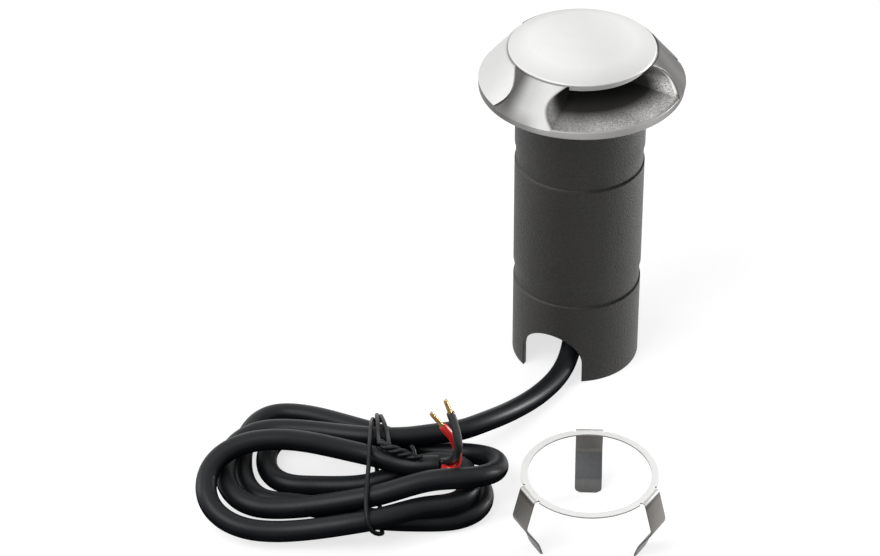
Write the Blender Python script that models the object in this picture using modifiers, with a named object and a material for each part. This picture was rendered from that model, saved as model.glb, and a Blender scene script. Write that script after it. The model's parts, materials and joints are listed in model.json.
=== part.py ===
"""Recessed ground uplight with its loose mounting ring and the supply cable wound into a hank.

Metres, +Z up. The light and its ring stand on z = 0, and the origin is the middle of their base.
"""

import math

import bmesh
import bpy
import numpy as np

# Shared clearances
GAP = 0.0003
OVERRUN = 0.001

# Housing tube
BODY_RADIUS = 0.0205
BODY_WALL = 0.002
BODY_HEIGHT = 0.0993
GROOVE_DEPTH = 0.0004
GROOVE_HEIGHT = 0.0064
GROOVE_BOTTOMS = (0.0737, 0.0292)
BULKHEAD_THICKNESS = 0.003
NOTCH_AZIMUTH = math.radians(-27)
NOTCH_HALF_WIDTH = 0.0103
NOTCH_STRAIGHT = 0.0068

# Head: rim, skirt, spigot and pillars
RIM_RADIUS = 0.032
RIM_HEIGHT = 0.0026
SKIRT_RISE = 0.0111
SPIGOT_WALL = 0.0032
SPIGOT_DEPTH = 0.0145
LENS_LEDGE = 0.0024
SEAT_DEPTH = 0.0002
FLANGE_GASKET_THICKNESS = 0.00075
FLANGE_GASKET_WIDTH = 0.0017
LIGHT_BORE_DEPTH = 0.00025

# Windows round the head: the first is open and the others are closed by blanks
WINDOW_AZIMUTHS = (math.radians(24), math.radians(-96), math.radians(144))
WINDOW_HALF_ANGLES = (math.radians(48.2), math.radians(42.2), math.radians(42.2))
WINDOW_ROW_SHARES = ((0, 0.88), (0.15, 0.95), (0.4, 1), (0.65, 0.97), (0.85, 0.87), (1, 0.775))
WINDOW_FLOOR_SLOPE = 0.15
WINDOW_COLUMNS = 13
BLANK_DEPTH = 0.006

# Cap and what hangs under it
CAP_RADIUS = 0.023
CAP_BAND = 0.0005
CAP_RISE = 0.0047
CAP_SCREW_AZIMUTHS = (math.radians(-39), math.radians(87), math.radians(-156))
CAP_SCREW_RADIUS = 0.001
CAP_SCREW_HEAD_RADIUS = 0.0018
CAP_SCREW_HEAD_HEIGHT = 0.0012
CAP_SCREW_LENGTH = 0.011
BOSS_RADIUS = 0.0022
BOSS_LENGTH = 0.0067
BOSS_INSET = 0.0002
SHIELD_INSET = 0.0018
SHIELD_THICKNESS = 0.0008
SHIELD_HEIGHT = 0.0021
SHIELD_HALF_ANGLE = math.radians(37)
REFLECTOR_CLEARANCE = 0.0008
REFLECTOR_EDGE = 0.0005
REFLECTOR_HEIGHT = 0.0072
REFLECTOR_TIP_RADIUS = 0.0024
REFLECTOR_SCREW_RADIUS = 0.001
REFLECTOR_SCREW_HEAD_RADIUS = 0.0017
REFLECTOR_SCREW_HEAD_HEIGHT = 0.001
REFLECTOR_SCREW_GRIP = 0.0022

# Optics in the spigot
LENS_THICKNESS = 0.003
LENS_GASKET_THICKNESS = 0.0005
RETAINER_RADIAL_WIDTH = 0.0013
RETAINER_HEIGHT = 0.0015
COLLIMATOR_BASE_RADIUS = 0.004
LED_BOARD_THICKNESS = 0.0016
LED_WIDTH = 0.005
LED_HEIGHT = 0.0012
O_RING_GROOVE_HEIGHT = 0.002
O_RING_GROOVE_DEPTH = 0.0013
O_RING_GROOVE_TOP = 0.005

# Heat sink
SINK_FLANGE_THICKNESS = 0.0028
SINK_HEIGHT = 0.0169
SINK_CORE_RADIUS = 0.006
SINK_FIN_CLEARANCE = 0.0007
SINK_FIN_THICKNESS = 0.0012
SINK_FINS = 6
SINK_SCREW_RADIUS = 0.0008
SINK_SCREW_HEAD_RADIUS = 0.0015
SINK_SCREW_HEAD_HEIGHT = 0.0012
SINK_SCREW_GRIP = 0.004
LEAD_SLOT_DEPTH = 0.0039
LEAD_SLOT_HALF_WIDTH = 0.0028
LED_LEAD_RADIUS = 0.0008
LED_LEAD_SPACING = 0.0026

# Driver
STANDOFF_LENGTH = 0.0078
STANDOFF_RADIUS = 0.002
STANDOFF_INSET = 0.0049
DRIVER_BOARD_CLEARANCE = 0.0007
DRIVER_SPACE = 0.00795
DRIVER_BOARD_THICKNESS = 0.0016
CAPACITOR_RADIUS = 0.0034
CAPACITOR_HEIGHT = 0.0042
INDUCTOR_RADIUS = 0.0033
INDUCTOR_CORE_RADIUS = 0.0022
INDUCTOR_HEIGHT = 0.004
INDUCTOR_FLANGE = 0.0009
BOARD_PART_INSET = 0.0044
TERMINAL_SIZE = (0.0064, 0.0098, 0.0042)
TERMINAL_INSET = 0.0042

# Cable gland
GLAND_THREAD_RADIUS = 0.0063
GLAND_THREAD_LENGTH = 0.0059
GLAND_HEX_RADIUS = 0.0092
GLAND_HEX_HEIGHT = 0.003
GLAND_LOCK_NUT_HEIGHT = 0.002
GLAND_CAP_THREAD_RADIUS = 0.007
GLAND_CAP_THREAD_LENGTH = 0.004
GLAND_SEAL_RADIUS = 0.0058
GLAND_SEAL_HEIGHT = 0.0018
GLAND_NUT_RADIUS = 0.0088
GLAND_NUT_HEIGHT = 0.0074
GLAND_NUT_MOUTH_RADIUS = 0.0068
GLAND_NUT_FLOOR = 0.0013

# Cable
CABLE_RADIUS = 0.00325
CORE_RADIUS = 0.00115
COPPER_RADIUS = 0.0007
CORE_SPACING = 0.0028
TAIL_ABOVE_GLAND = 0.0004

# Mounting ring and its spring clips
RING_RADIUS = 0.02075
RING_WIDTH = 0.00215
RING_THICKNESS = 0.0005
RING_TOP = 0.0224
RING_X = 0.0004
RING_DISTANCE = 0.0945
CLIP_AZIMUTHS = (math.radians(2.4), math.radians(122.4), math.radians(242.4))
CLIP_WIDTH = 0.0083
CLIP_HEAD = 0.00015
CLIP_KNEE_REACH = 0.0027
CLIP_KNEE_DROP = 0.0102
CLIP_WAIST_REACH = -0.0017
CLIP_WAIST_DROP = 0.017
CLIP_ANKLE_REACH = -0.0027
CLIP_ANKLE_DROP = 0.01995
CLIP_TIP_REACH = -0.0033
CLIP_TIP_DROP = 0.02205
CLIP_BEND_RADIUS = 0.001
CLIP_CORNER_RADIUS = 0.002
RELIEF_WIDTH = 0.0008
RELIEF_DEPTH = 0.0008

# Cable route inside the tube: places seen from above, and heights as shares of the gland's foot height
LEAD_INNER_PLACES = (
    (0, 0),
    (0, -0.0001),
    (-0.0001, -0.0014),
    (-0.0004, -0.0050),
    (-0.0012, -0.0105),
    (-0.0028, -0.0164),
)
LEAD_INNER_SHARES = (1, 0.897, 0.706, 0.494, 0.3235, 0.206)

# Cable route from the notch to the hank, measured from the light's axis
LEAD_OUTER_ROUTE = (
    (-0.0058, -0.0224, 0.0047),
    (-0.0098, -0.0282, 0.0039),
    (-0.0144, -0.0342, 0.0042),
    (-0.0194, -0.0406, 0.0056),
    (-0.0249, -0.0473, 0.0076),
    (-0.0309, -0.0535, 0.0096),
    (-0.0380, -0.0590, 0.0109),
    (-0.0460, -0.0612, 0.0113),
)
LEAD_STEPS = 2

# Hank: round turns at its two ends joined by runs that the tie draws together
HANK_TIE_X = -0.066
HANK_END = (-0.0447, -0.0817, 0.0153)
HANK_END_HEADING = (1, 0, 0.06)
# Each turn: side, first (1 starts at the back), centre x, centre y, reach, half width, z in, z out
HANK_TURNS = (
    (-1, 1, -0.0950, -0.0753, 0.0156, 0.0176, 0.0107, 0.0078),
    (1, -1, -0.0430, -0.0767, 0.0165, 0.0149, 0.0180, 0.0042),
    (-1, 1, -0.0940, -0.0622, 0.0123, 0.0222, 0.00325, 0.00325),
    (1, -1, -0.0450, -0.0819, 0.0140, 0.0118, 0.00325, 0.00325),
    (-1, 1, -0.0868, -0.0633, 0.0119, 0.0133, 0.00325, 0.00325),
    (1, 1, -0.0450, -0.0840, 0.0099, 0.0108, 0.0100, 0.0103),
    (-1, -1, -0.0945, -0.0869, 0.0213, 0.0143, 0.0057, 0.0186),
)
# Where each run passes through the tie: y and z
HANK_RUNS = (
    (-0.0638, 0.0122),
    (-0.0946, 0.0135),
    (-0.0521, 0.0051),
    (-0.0945, 0.0051),
    (-0.0637, 0.0051),
    (-0.0781, 0.0051),
    (-0.1017, 0.0102),
    (-0.0748, 0.0138),
)
HANK_TURN_POINTS = 7
HANK_RUN_STEPS = 3
HANK_FULLNESS = 0.9
HANK_PROBE = 0.001
HANK_NEIGHBOUR_SHARE = 2.6

# Elastic tie round the hank
TIE_RADIUS = 0.00065
TIE_SLACK = 0.0005
TIE_POINTS = 24

# Stripped cores at the cable's free end, measured from the light's axis
RED_ROUTE = (
    (-0.0443, -0.0831, 0.0153),
    (-0.0431, -0.0831, 0.0150),
    (-0.0410, -0.0826, 0.0142),
    (-0.0391, -0.0813, 0.0145),
    (-0.0380, -0.0801, 0.0167),
    (-0.0384, -0.0797, 0.0203),
    (-0.0403, -0.0796, 0.0242),
    (-0.0437, -0.0794, 0.0287),
)
RED_TIP = (-0.0469, -0.0793, 0.0325)
BLACK_ROUTE = (
    (-0.0443, -0.0803, 0.0153),
    (-0.0431, -0.0804, 0.0155),
    (-0.0415, -0.0811, 0.0166),
    (-0.0402, -0.0822, 0.0184),
    (-0.0392, -0.0831, 0.0211),
    (-0.0389, -0.0834, 0.0246),
    (-0.0394, -0.0834, 0.0290),
    (-0.0404, -0.0831, 0.0335),
    (-0.0413, -0.0829, 0.0365),
)
BLACK_TIP = (-0.0425, -0.0827, 0.0397)

# Heights and radii worked out from the sizes above
BODY_BORE = BODY_RADIUS - BODY_WALL
SEAT_Z = BODY_HEIGHT + FLANGE_GASKET_THICKNESS + 2 * GAP
FLANGE_Z = SEAT_Z - SEAT_DEPTH
RIM_TOP = FLANGE_Z + RIM_HEIGHT
CAP_BAND_TOP = RIM_TOP + SKIRT_RISE
CAP_SEAT = CAP_BAND_TOP - CAP_BAND
SHELL_TOP = CAP_SEAT - GAP
SPIGOT_RADIUS = BODY_BORE - GAP
HINGE_RADIUS = RING_RADIUS + GAP + RING_THICKNESS / 2
SPIGOT_BORE_RADIUS = SPIGOT_RADIUS - SPIGOT_WALL
LIGHT_BORE_RADIUS = SPIGOT_BORE_RADIUS - LENS_LEDGE
REFLECTOR_RADIUS = LIGHT_BORE_RADIUS - REFLECTOR_CLEARANCE
CAP_SCREW_CIRCLE = CAP_RADIUS - BOSS_RADIUS - BOSS_INSET
SEAT_RADIUS = CAP_SCREW_CIRCLE + CAP_SCREW_HEAD_RADIUS + 2 * GAP
SHIELD_RADIUS = CAP_RADIUS - SHIELD_INSET
SPIGOT_BOTTOM = FLANGE_Z - SPIGOT_DEPTH
LENS_SHOULDER = FLANGE_Z + LIGHT_BORE_DEPTH
SINK_TOP = SPIGOT_BOTTOM - GAP
SINK_FLANGE_BOTTOM = SINK_TOP - SINK_FLANGE_THICKNESS
SINK_BOTTOM = SINK_FLANGE_BOTTOM - SINK_HEIGHT
SINK_SCREW_CIRCLE = (SPIGOT_RADIUS + SPIGOT_BORE_RADIUS) / 2
SINK_FIN_RADIUS = SINK_SCREW_CIRCLE - SINK_SCREW_HEAD_RADIUS - SINK_FIN_CLEARANCE
LEAD_SLOT_INNER = SINK_FIN_RADIUS - LEAD_SLOT_DEPTH
STANDOFF_CIRCLE = SINK_FIN_RADIUS - STANDOFF_INSET
DRIVER_TOP = SINK_BOTTOM - STANDOFF_LENGTH - 2 * GAP
DRIVER_BOTTOM = DRIVER_TOP - DRIVER_BOARD_THICKNESS
DRIVER_BOARD_RADIUS = BODY_BORE - DRIVER_BOARD_CLEARANCE
BOARD_PART_CIRCLE = DRIVER_BOARD_RADIUS - BOARD_PART_INSET
TERMINAL_INNER = DRIVER_BOARD_RADIUS - TERMINAL_INSET - TERMINAL_SIZE[0]
BULKHEAD_TOP = DRIVER_BOTTOM - DRIVER_SPACE
BULKHEAD_Z = BULKHEAD_TOP - BULKHEAD_THICKNESS
GLAND_HEX_TOP = BULKHEAD_Z - GAP
GLAND_HEX_BOTTOM = GLAND_HEX_TOP - GLAND_HEX_HEIGHT
GLAND_TOP = GLAND_HEX_TOP + GLAND_THREAD_LENGTH
GLAND_NUT_TOP = GLAND_HEX_BOTTOM - GAP
GLAND_NUT_BOTTOM = GLAND_NUT_TOP - GLAND_NUT_HEIGHT
CABLE_BORE = CABLE_RADIUS + GAP
LEAD_INNER_ROUTE = [
    (x, y, share * GLAND_NUT_BOTTOM) for (x, y), share in zip(LEAD_INNER_PLACES, LEAD_INNER_SHARES)
]
LEAD_ROUTE = (*LEAD_INNER_ROUTE, *LEAD_OUTER_ROUTE)
LIGHT_Y = (RING_DISTANCE + RING_RADIUS - RIM_RADIUS) / 2

# Facets
FINE = 48
MEDIUM = 24
COARSE = 12

# Finishes: colour, roughness and metallic value
FINISHES = {
    "dark_powder_coat": ((0.040, 0.036, 0.033), 0.55, 0.1),
    "satin_steel": ((0.62, 0.61, 0.59), 0.32, 1.0),
    "polished_steel": ((0.90, 0.90, 0.89), 0.2, 1.0),
    "spring_steel": ((0.30, 0.30, 0.30), 0.3, 1.0),
    "screw_steel": ((0.55, 0.55, 0.55), 0.35, 1.0),
    "bare_aluminium": ((0.70, 0.71, 0.72), 0.35, 1.0),
    "clear_glass": ((0.85, 0.90, 0.90), 0.05, 0.0),
    "black_rubber": ((0.012, 0.012, 0.013), 0.5, 0.0),
    "black_nylon": ((0.02, 0.02, 0.02), 0.45, 0.0),
    "white_laminate": ((0.80, 0.80, 0.78), 0.5, 0.0),
    "green_laminate": ((0.04, 0.20, 0.08), 0.45, 0.0),
    "led_phosphor": ((0.85, 0.70, 0.15), 0.4, 0.0),
    "red_insulation": ((0.60, 0.02, 0.015), 0.4, 0.0),
    "black_insulation": ((0.012, 0.012, 0.012), 0.4, 0.0),
    "bare_copper": ((0.72, 0.34, 0.14), 0.35, 1.0),
    "capacitor_sleeve": ((0.03, 0.05, 0.16), 0.4, 0.0),
}


def clear_scene():
    for obj in list(bpy.data.objects):
        bpy.data.objects.remove(obj)


def add_collection(name):
    made = bpy.data.collections.new(name)
    bpy.context.scene.collection.children.link(made)
    return made


def add_material(name, colour, roughness, metallic):
    made = bpy.data.materials.new(name)
    made.use_nodes = True
    shader = made.node_tree.nodes["Principled BSDF"]
    shader.inputs["Base Color"].default_value = (*colour, 1)
    shader.inputs["Roughness"].default_value = roughness
    shader.inputs["Metallic"].default_value = metallic
    made.diffuse_color = (*colour, 1)
    return made


def add_empty(name, location):
    made = bpy.data.objects.new(name, None)
    made.location = location
    PARTS.objects.link(made)
    return made


def add_part(name, data, finish, parent, location=(0, 0, 0), turn=0):
    """Adds the mesh or curve as a named piece under its parent."""
    made = bpy.data.objects.new(name, data)
    data.materials.append(MATERIALS[finish])
    made.parent = parent
    made.location = location
    made.rotation_euler.z = turn
    PARTS.objects.link(made)
    return made


def add_cutter(name, data, parent, location=(0, 0, 0), turn=0):
    """Adds a helper solid that is cut from a piece, or joined to it."""
    made = bpy.data.objects.new(name, data)
    made.parent = parent
    made.location = location
    made.rotation_euler.z = turn
    made.hide_render = True
    made.display_type = "WIRE"
    CUTTERS.objects.link(made)
    return made


def combine(target, helper, operation):
    modifier = target.modifiers.new(helper.name, "BOOLEAN")
    modifier.operation = operation
    modifier.solver = "EXACT"
    modifier.object = helper


def cut(target, cutter):
    combine(target, cutter, "DIFFERENCE")


def unite(target, helper):
    combine(target, helper, "UNION")


def polar(radius, azimuth):
    """The place at this radius, with the azimuth counted from the front (-Y) towards +X."""
    return radius * math.sin(azimuth), -radius * math.cos(azimuth)


def mesh_from(name, bm):
    data = bpy.data.meshes.new(name)
    bm.to_mesh(data)
    bm.free()
    data.shade_smooth()
    data.set_sharp_from_angle(angle=math.radians(30))
    return data


def turned(obj, profile, steps):
    """Gives the piece a profile of (radius, z) points turned about Z, which runs down its outer side."""
    data = obj.data
    count = len(profile)
    chain = [(index, index + 1) for index in range(count - 1)]
    if profile[0][0] > 0:
        chain.append((count - 1, 0))
    data.from_pydata([(radius, 0, z) for radius, z in profile], chain, [])
    modifier = obj.modifiers.new("turn", "SCREW")
    modifier.steps = steps
    modifier.render_steps = steps
    modifier.use_merge_vertices = True
    modifier.merge_threshold = GAP / 30
    modifier.use_smooth_shade = True


def add_turned(name, profile, finish, parent, steps=FINE, location=(0, 0, 0), turn=0):
    made = add_part(name, bpy.data.meshes.new(name), finish, parent, location, turn)
    turned(made, profile, steps)
    return made


def cut_turned(target, name, profile, parent, steps=COARSE, location=(0, 0, 0)):
    cutter = add_cutter(name, bpy.data.meshes.new(name), parent, location)
    turned(cutter, profile, steps)
    cut(target, cutter)


def rod(radius, bottom, top):
    """The profile of a plain round bar."""
    return ((0, top), (radius, top), (radius, bottom), (0, bottom))


def washer(outer, inner, bottom, top):
    """The profile of a plain round ring."""
    return ((outer, top), (outer, bottom), (inner, bottom), (inner, top))


def box_mesh(name, low, high):
    bm = bmesh.new()
    bmesh.ops.create_cube(bm, size=1)
    low, high = np.array(low), np.array(high)
    for vert in bm.verts:
        vert.co = (low + high) / 2 + np.array(vert.co) * (high - low)
    return mesh_from(name, bm)


def prism_mesh(name, radius, bottom, top, sides):
    """An upright prism on a regular polygon of this corner radius."""
    bm = bmesh.new()
    bmesh.ops.create_cone(bm, cap_ends=True, segments=sides, radius1=radius, radius2=radius, depth=top - bottom)
    bmesh.ops.translate(bm, verts=bm.verts, vec=(0, 0, (top + bottom) / 2))
    return mesh_from(name, bm)


def lattice_mesh(name, grid):
    """A closed solid from a grid of points, counted by row, column and depth, with its six sides skinned."""
    bm = bmesh.new()
    for axis in range(3):
        for end in (0, -1):
            sheet = np.take(grid, end, axis=axis)
            rows, columns = sheet.shape[:2]
            verts = [[bm.verts.new(point) for point in row] for row in sheet]
            for row in range(rows - 1):
                for column in range(columns - 1):
                    near, far = verts[row], verts[row + 1]
                    bm.faces.new((near[column], near[column + 1], far[column + 1], far[column]))
    bmesh.ops.remove_doubles(bm, verts=bm.verts, dist=GAP / 30)
    bmesh.ops.triangulate(bm, faces=bm.faces)
    bmesh.ops.recalc_face_normals(bm, faces=bm.faces)
    return mesh_from(name, bm)


def tube_curve(name, points, radius, resolution):
    """A closed round tube along the points."""
    data = bpy.data.curves.new(name, "CURVE")
    data.dimensions = "3D"
    data.bevel_depth = radius
    data.bevel_resolution = resolution
    data.use_fill_caps = True
    spline = data.splines.new("POLY")
    spline.points.add(len(points) - 1)
    for point, place in zip(spline.points, points):
        point.co = (*place, 1)
    return data


def smooth_route(places, steps):
    """Points along the smooth curve through these places, this many from each place to the next."""
    places = np.array(places, float)
    ends = np.concatenate([[2 * places[0] - places[1]], places, [2 * places[-1] - places[-2]]])
    route = []
    for index in range(len(places) - 1):
        before, start, stop, after = ends[index : index + 4]
        for share in np.arange(steps) / steps:
            bend = 2 * before - 5 * start + 4 * stop - after
            twist = 3 * start - before - 3 * stop + after
            route.append(start + ((stop - before) * share + bend * share**2 + twist * share**3) / 2)
    route.append(places[-1])
    return route


def rounded(places, radii, steps):
    """The path through these places with each inner corner rounded to its radius."""
    places = [np.array(place, float) for place in places]
    path = [places[0]]
    for before, corner, after, radius in zip(places, places[1:], places[2:], radii):
        back = (before - corner) / np.linalg.norm(before - corner)
        ahead = (after - corner) / np.linalg.norm(after - corner)
        half = math.acos(np.clip(back @ ahead, -1, 1)) / 2
        reach = radius / math.tan(half)
        for share in np.linspace(0, 1, steps):
            path.append(corner + reach * ((1 - share) ** 2 * back + share**2 * ahead))
    path.append(places[-1])
    return path


def build_housing(light):
    """The dark tube: two shallow grooves, a bulkhead for the gland, an open skirt and the cable notch."""
    outer = [(BODY_RADIUS, BODY_HEIGHT)]
    groove_radius = BODY_RADIUS - GROOVE_DEPTH
    for bottom in GROOVE_BOTTOMS:
        top = bottom + GROOVE_HEIGHT
        outer += [(BODY_RADIUS, top), (groove_radius, top), (groove_radius, bottom), (BODY_RADIUS, bottom)]
    gland_hole = GLAND_THREAD_RADIUS + GAP
    inner = [
        (BODY_RADIUS, 0),
        (BODY_BORE, 0),
        (BODY_BORE, BULKHEAD_Z),
        (gland_hole, BULKHEAD_Z),
        (gland_hole, BULKHEAD_TOP),
        (BODY_BORE, BULKHEAD_TOP),
        (BODY_BORE, BODY_HEIGHT),
    ]
    housing = add_turned("housing_body", outer + inner, "dark_powder_coat", light)
    arch = [(-NOTCH_HALF_WIDTH, -OVERRUN), (NOTCH_HALF_WIDTH, -OVERRUN)]
    for angle in np.linspace(0, math.pi, COARSE + 1):
        arch.append((NOTCH_HALF_WIDTH * math.cos(angle), NOTCH_STRAIGHT + NOTCH_HALF_WIDTH * math.sin(angle)))
    bm = bmesh.new()
    outline = [bm.verts.new((x, 0, z)) for x, z in arch]
    face = bm.faces.new(outline)
    pushed = bmesh.ops.extrude_face_region(bm, geom=[face])["geom"]
    far = [item for item in pushed if isinstance(item, bmesh.types.BMVert)]
    bmesh.ops.translate(bm, verts=far, vec=(0, -BODY_RADIUS - OVERRUN, 0))
    bmesh.ops.recalc_face_normals(bm, faces=bm.faces)
    cut(housing, add_cutter("notch_cutter", mesh_from("notch_cutter", bm), light, turn=NOTCH_AZIMUTH))


def window_floor(radius):
    """The height of a window's floor, which rises towards the light's axis."""
    return RIM_TOP + (RIM_RADIUS - radius) * WINDOW_FLOOR_SLOPE


def skirt_radius(share):
    """The radius where the skirt meets the line that is this share of the way from window floor to shell top."""
    fall = (RIM_RADIUS - CAP_RADIUS) / SKIRT_RISE
    floor_part = (1 - share) * (RIM_TOP + RIM_RADIUS * WINDOW_FLOOR_SLOPE) + share * SHELL_TOP
    floor_slope = (1 - share) * WINDOW_FLOOR_SLOPE
    return (RIM_RADIUS + fall * (RIM_TOP - floor_part)) / (1 - fall * floor_slope)


def window_grid(half_angle, rows, inner, outer_of, gap):
    """The points of a window's space, or of a blank that fills it with this gap."""
    grid = []
    for share, angle_share in rows:
        row = []
        for radius in (inner, outer_of(share)):
            floor = window_floor(radius) + gap
            height = floor + share * (SHELL_TOP - floor)
            reach = half_angle * angle_share - gap / radius
            places = [polar(radius, angle) for angle in np.linspace(-reach, reach, WINDOW_COLUMNS)]
            row.append([(x, y, height) for x, y in places])
        grid.append(np.transpose(row, (1, 0, 2)))
    return np.array(grid)


def build_head_shell(light):
    """The steel head: rim, sloping skirt, spigot, light bore, three windows and the cap's screw pockets."""
    groove_top = FLANGE_Z - O_RING_GROOVE_TOP
    groove_bottom = groove_top - O_RING_GROOVE_HEIGHT
    groove_radius = SPIGOT_RADIUS - O_RING_GROOVE_DEPTH
    profile = (
        (skirt_radius(1), SHELL_TOP),
        (RIM_RADIUS, RIM_TOP),
        (RIM_RADIUS, FLANGE_Z),
        (SEAT_RADIUS, FLANGE_Z),
        (SEAT_RADIUS, SEAT_Z),
        (SPIGOT_RADIUS, SEAT_Z),
        (SPIGOT_RADIUS, groove_top),
        (groove_radius, groove_top),
        (groove_radius, groove_bottom),
        (SPIGOT_RADIUS, groove_bottom),
        (SPIGOT_RADIUS, SPIGOT_BOTTOM),
        (SPIGOT_BORE_RADIUS, SPIGOT_BOTTOM),
        (SPIGOT_BORE_RADIUS, LENS_SHOULDER),
        (LIGHT_BORE_RADIUS, LENS_SHOULDER),
        (LIGHT_BORE_RADIUS, SHELL_TOP),
    )
    shell = add_turned("head_shell", profile, "satin_steel", light)
    inner = LIGHT_BORE_RADIUS - OVERRUN
    past_top = 1 + OVERRUN / SKIRT_RISE
    rows = (*WINDOW_ROW_SHARES, (past_top, WINDOW_ROW_SHARES[-1][1]))
    for number, (azimuth, half_angle) in enumerate(zip(WINDOW_AZIMUTHS, WINDOW_HALF_ANGLES), 1):
        grid = window_grid(half_angle, rows, inner, lambda share: RIM_RADIUS + OVERRUN, 0)
        name = f"window_cutter_{number}"
        cut(shell, add_cutter(name, lattice_mesh(name, grid), light, turn=azimuth))
    for number, azimuth in enumerate(CAP_SCREW_AZIMUTHS, 1):
        place = (*polar(CAP_SCREW_CIRCLE, azimuth), 0)
        pocket = BOSS_RADIUS + GAP
        pocket_bottom = CAP_SEAT - BOSS_LENGTH - GAP
        hole = CAP_SCREW_RADIUS + GAP
        sink = CAP_SCREW_HEAD_RADIUS + GAP
        sink_top = SEAT_Z + CAP_SCREW_HEAD_HEIGHT + GAP
        stepped = (
            (0, SHELL_TOP + OVERRUN),
            (pocket, SHELL_TOP + OVERRUN),
            (pocket, pocket_bottom),
            (hole, pocket_bottom),
            (hole, sink_top),
            (sink, SEAT_Z),
            (sink, SEAT_Z - OVERRUN),
            (0, SEAT_Z - OVERRUN),
        )
        cut_turned(shell, f"pocket_cutter_{number}", stepped, light, location=place)
    for number, place in enumerate(sink_screw_places(), 1):
        hole = rod(SINK_SCREW_RADIUS + GAP, SPIGOT_BOTTOM - OVERRUN, SPIGOT_BOTTOM + SINK_SCREW_GRIP)
        cut_turned(shell, f"spigot_hole_cutter_{number}", hole, light, location=place)


def build_window_blanks(light):
    """The smooth covers that close the two windows on the left and at the rear, flush with the skirt."""
    pieces = ("window_blank_left", "window_blank_rear")
    for name, azimuth, half_angle in zip(pieces, WINDOW_AZIMUTHS[1:], WINDOW_HALF_ANGLES[1:]):
        inner = skirt_radius(1) - BLANK_DEPTH
        grid = window_grid(half_angle, WINDOW_ROW_SHARES, inner, skirt_radius, GAP)
        add_part(name, lattice_mesh(name, grid), "polished_steel", light, turn=azimuth)


def build_cap(light):
    """The domed cap with a boss over each pillar and a blind hole in each boss."""
    sphere = (CAP_RADIUS**2 + CAP_RISE**2) / (2 * CAP_RISE)
    centre = CAP_BAND_TOP + CAP_RISE - sphere
    widest = math.asin(CAP_RADIUS / sphere)
    dome = [(sphere * math.sin(angle), centre + sphere * math.cos(angle)) for angle in np.linspace(0, widest, 7)]
    cap = add_turned("dome_cap", [*dome, (CAP_RADIUS, CAP_SEAT), (0, CAP_SEAT)], "polished_steel", light)
    for number, azimuth in enumerate(CAP_SCREW_AZIMUTHS, 1):
        place = (*polar(CAP_SCREW_CIRCLE, azimuth), 0)
        boss_bottom = CAP_SEAT - BOSS_LENGTH
        boss = add_cutter(f"boss_{number}", bpy.data.meshes.new("boss"), light, place)
        turned(boss, rod(BOSS_RADIUS, boss_bottom, CAP_SEAT + CAP_BAND / 2), COARSE)
        unite(cap, boss)
        hole_top = SEAT_Z + CAP_SCREW_LENGTH + 2 * GAP
        hole = rod(CAP_SCREW_RADIUS + GAP, boss_bottom - OVERRUN, hole_top)
        cut_turned(cap, f"boss_hole_cutter_{number}", hole, light, location=place)
        screw = (
            (0, SEAT_Z + GAP / 2 + CAP_SCREW_LENGTH),
            (CAP_SCREW_RADIUS, SEAT_Z + GAP / 2 + CAP_SCREW_LENGTH),
            (CAP_SCREW_RADIUS, SEAT_Z + GAP / 2 + CAP_SCREW_HEAD_HEIGHT),
            (CAP_SCREW_HEAD_RADIUS, SEAT_Z + GAP / 2),
            (0, SEAT_Z + GAP / 2),
        )
        add_turned(f"cap_screw_{number}", screw, "screw_steel", light, COARSE, place)
    grip_top = CAP_SEAT + REFLECTOR_SCREW_GRIP
    hole = rod(REFLECTOR_SCREW_RADIUS + GAP, CAP_SEAT - OVERRUN, grip_top + GAP)
    cut_turned(cap, "reflector_hole_cutter", hole, light)


def build_reflector(light):
    """The cone that turns the light out of the window, its screw, and the glare shield beside it."""
    top = CAP_SEAT - GAP
    tip = top - REFLECTOR_HEIGHT
    head_top = tip + REFLECTOR_SCREW_HEAD_HEIGHT
    cone = (
        (REFLECTOR_RADIUS, top),
        (REFLECTOR_RADIUS, top - REFLECTOR_EDGE),
        (REFLECTOR_TIP_RADIUS, tip),
        (REFLECTOR_SCREW_HEAD_RADIUS + GAP, tip),
        (REFLECTOR_SCREW_HEAD_RADIUS + GAP, head_top + GAP),
        (REFLECTOR_SCREW_RADIUS + GAP, head_top + GAP),
        (REFLECTOR_SCREW_RADIUS + GAP, top),
    )
    add_turned("reflector_cone", cone, "polished_steel", light, MEDIUM)
    screw = (
        (0, CAP_SEAT + REFLECTOR_SCREW_GRIP),
        (REFLECTOR_SCREW_RADIUS, CAP_SEAT + REFLECTOR_SCREW_GRIP),
        (REFLECTOR_SCREW_RADIUS, head_top),
        (REFLECTOR_SCREW_HEAD_RADIUS, head_top),
        (REFLECTOR_SCREW_HEAD_RADIUS, tip),
        (0, tip),
    )
    add_turned("reflector_screw", screw, "screw_steel", light, COARSE)
    grid = []
    for height in (top - SHIELD_HEIGHT, top):
        row = []
        for radius in (SHIELD_RADIUS - SHIELD_THICKNESS, SHIELD_RADIUS):
            angles = np.linspace(-SHIELD_HALF_ANGLE, SHIELD_HALF_ANGLE, WINDOW_COLUMNS)
            row.append([(*polar(radius, angle), height) for angle in angles])
        grid.append(row)
    shield = lattice_mesh("glare_shield", np.array(grid))
    add_part("glare_shield", shield, "bare_aluminium", light, turn=WINDOW_AZIMUTHS[0])


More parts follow.
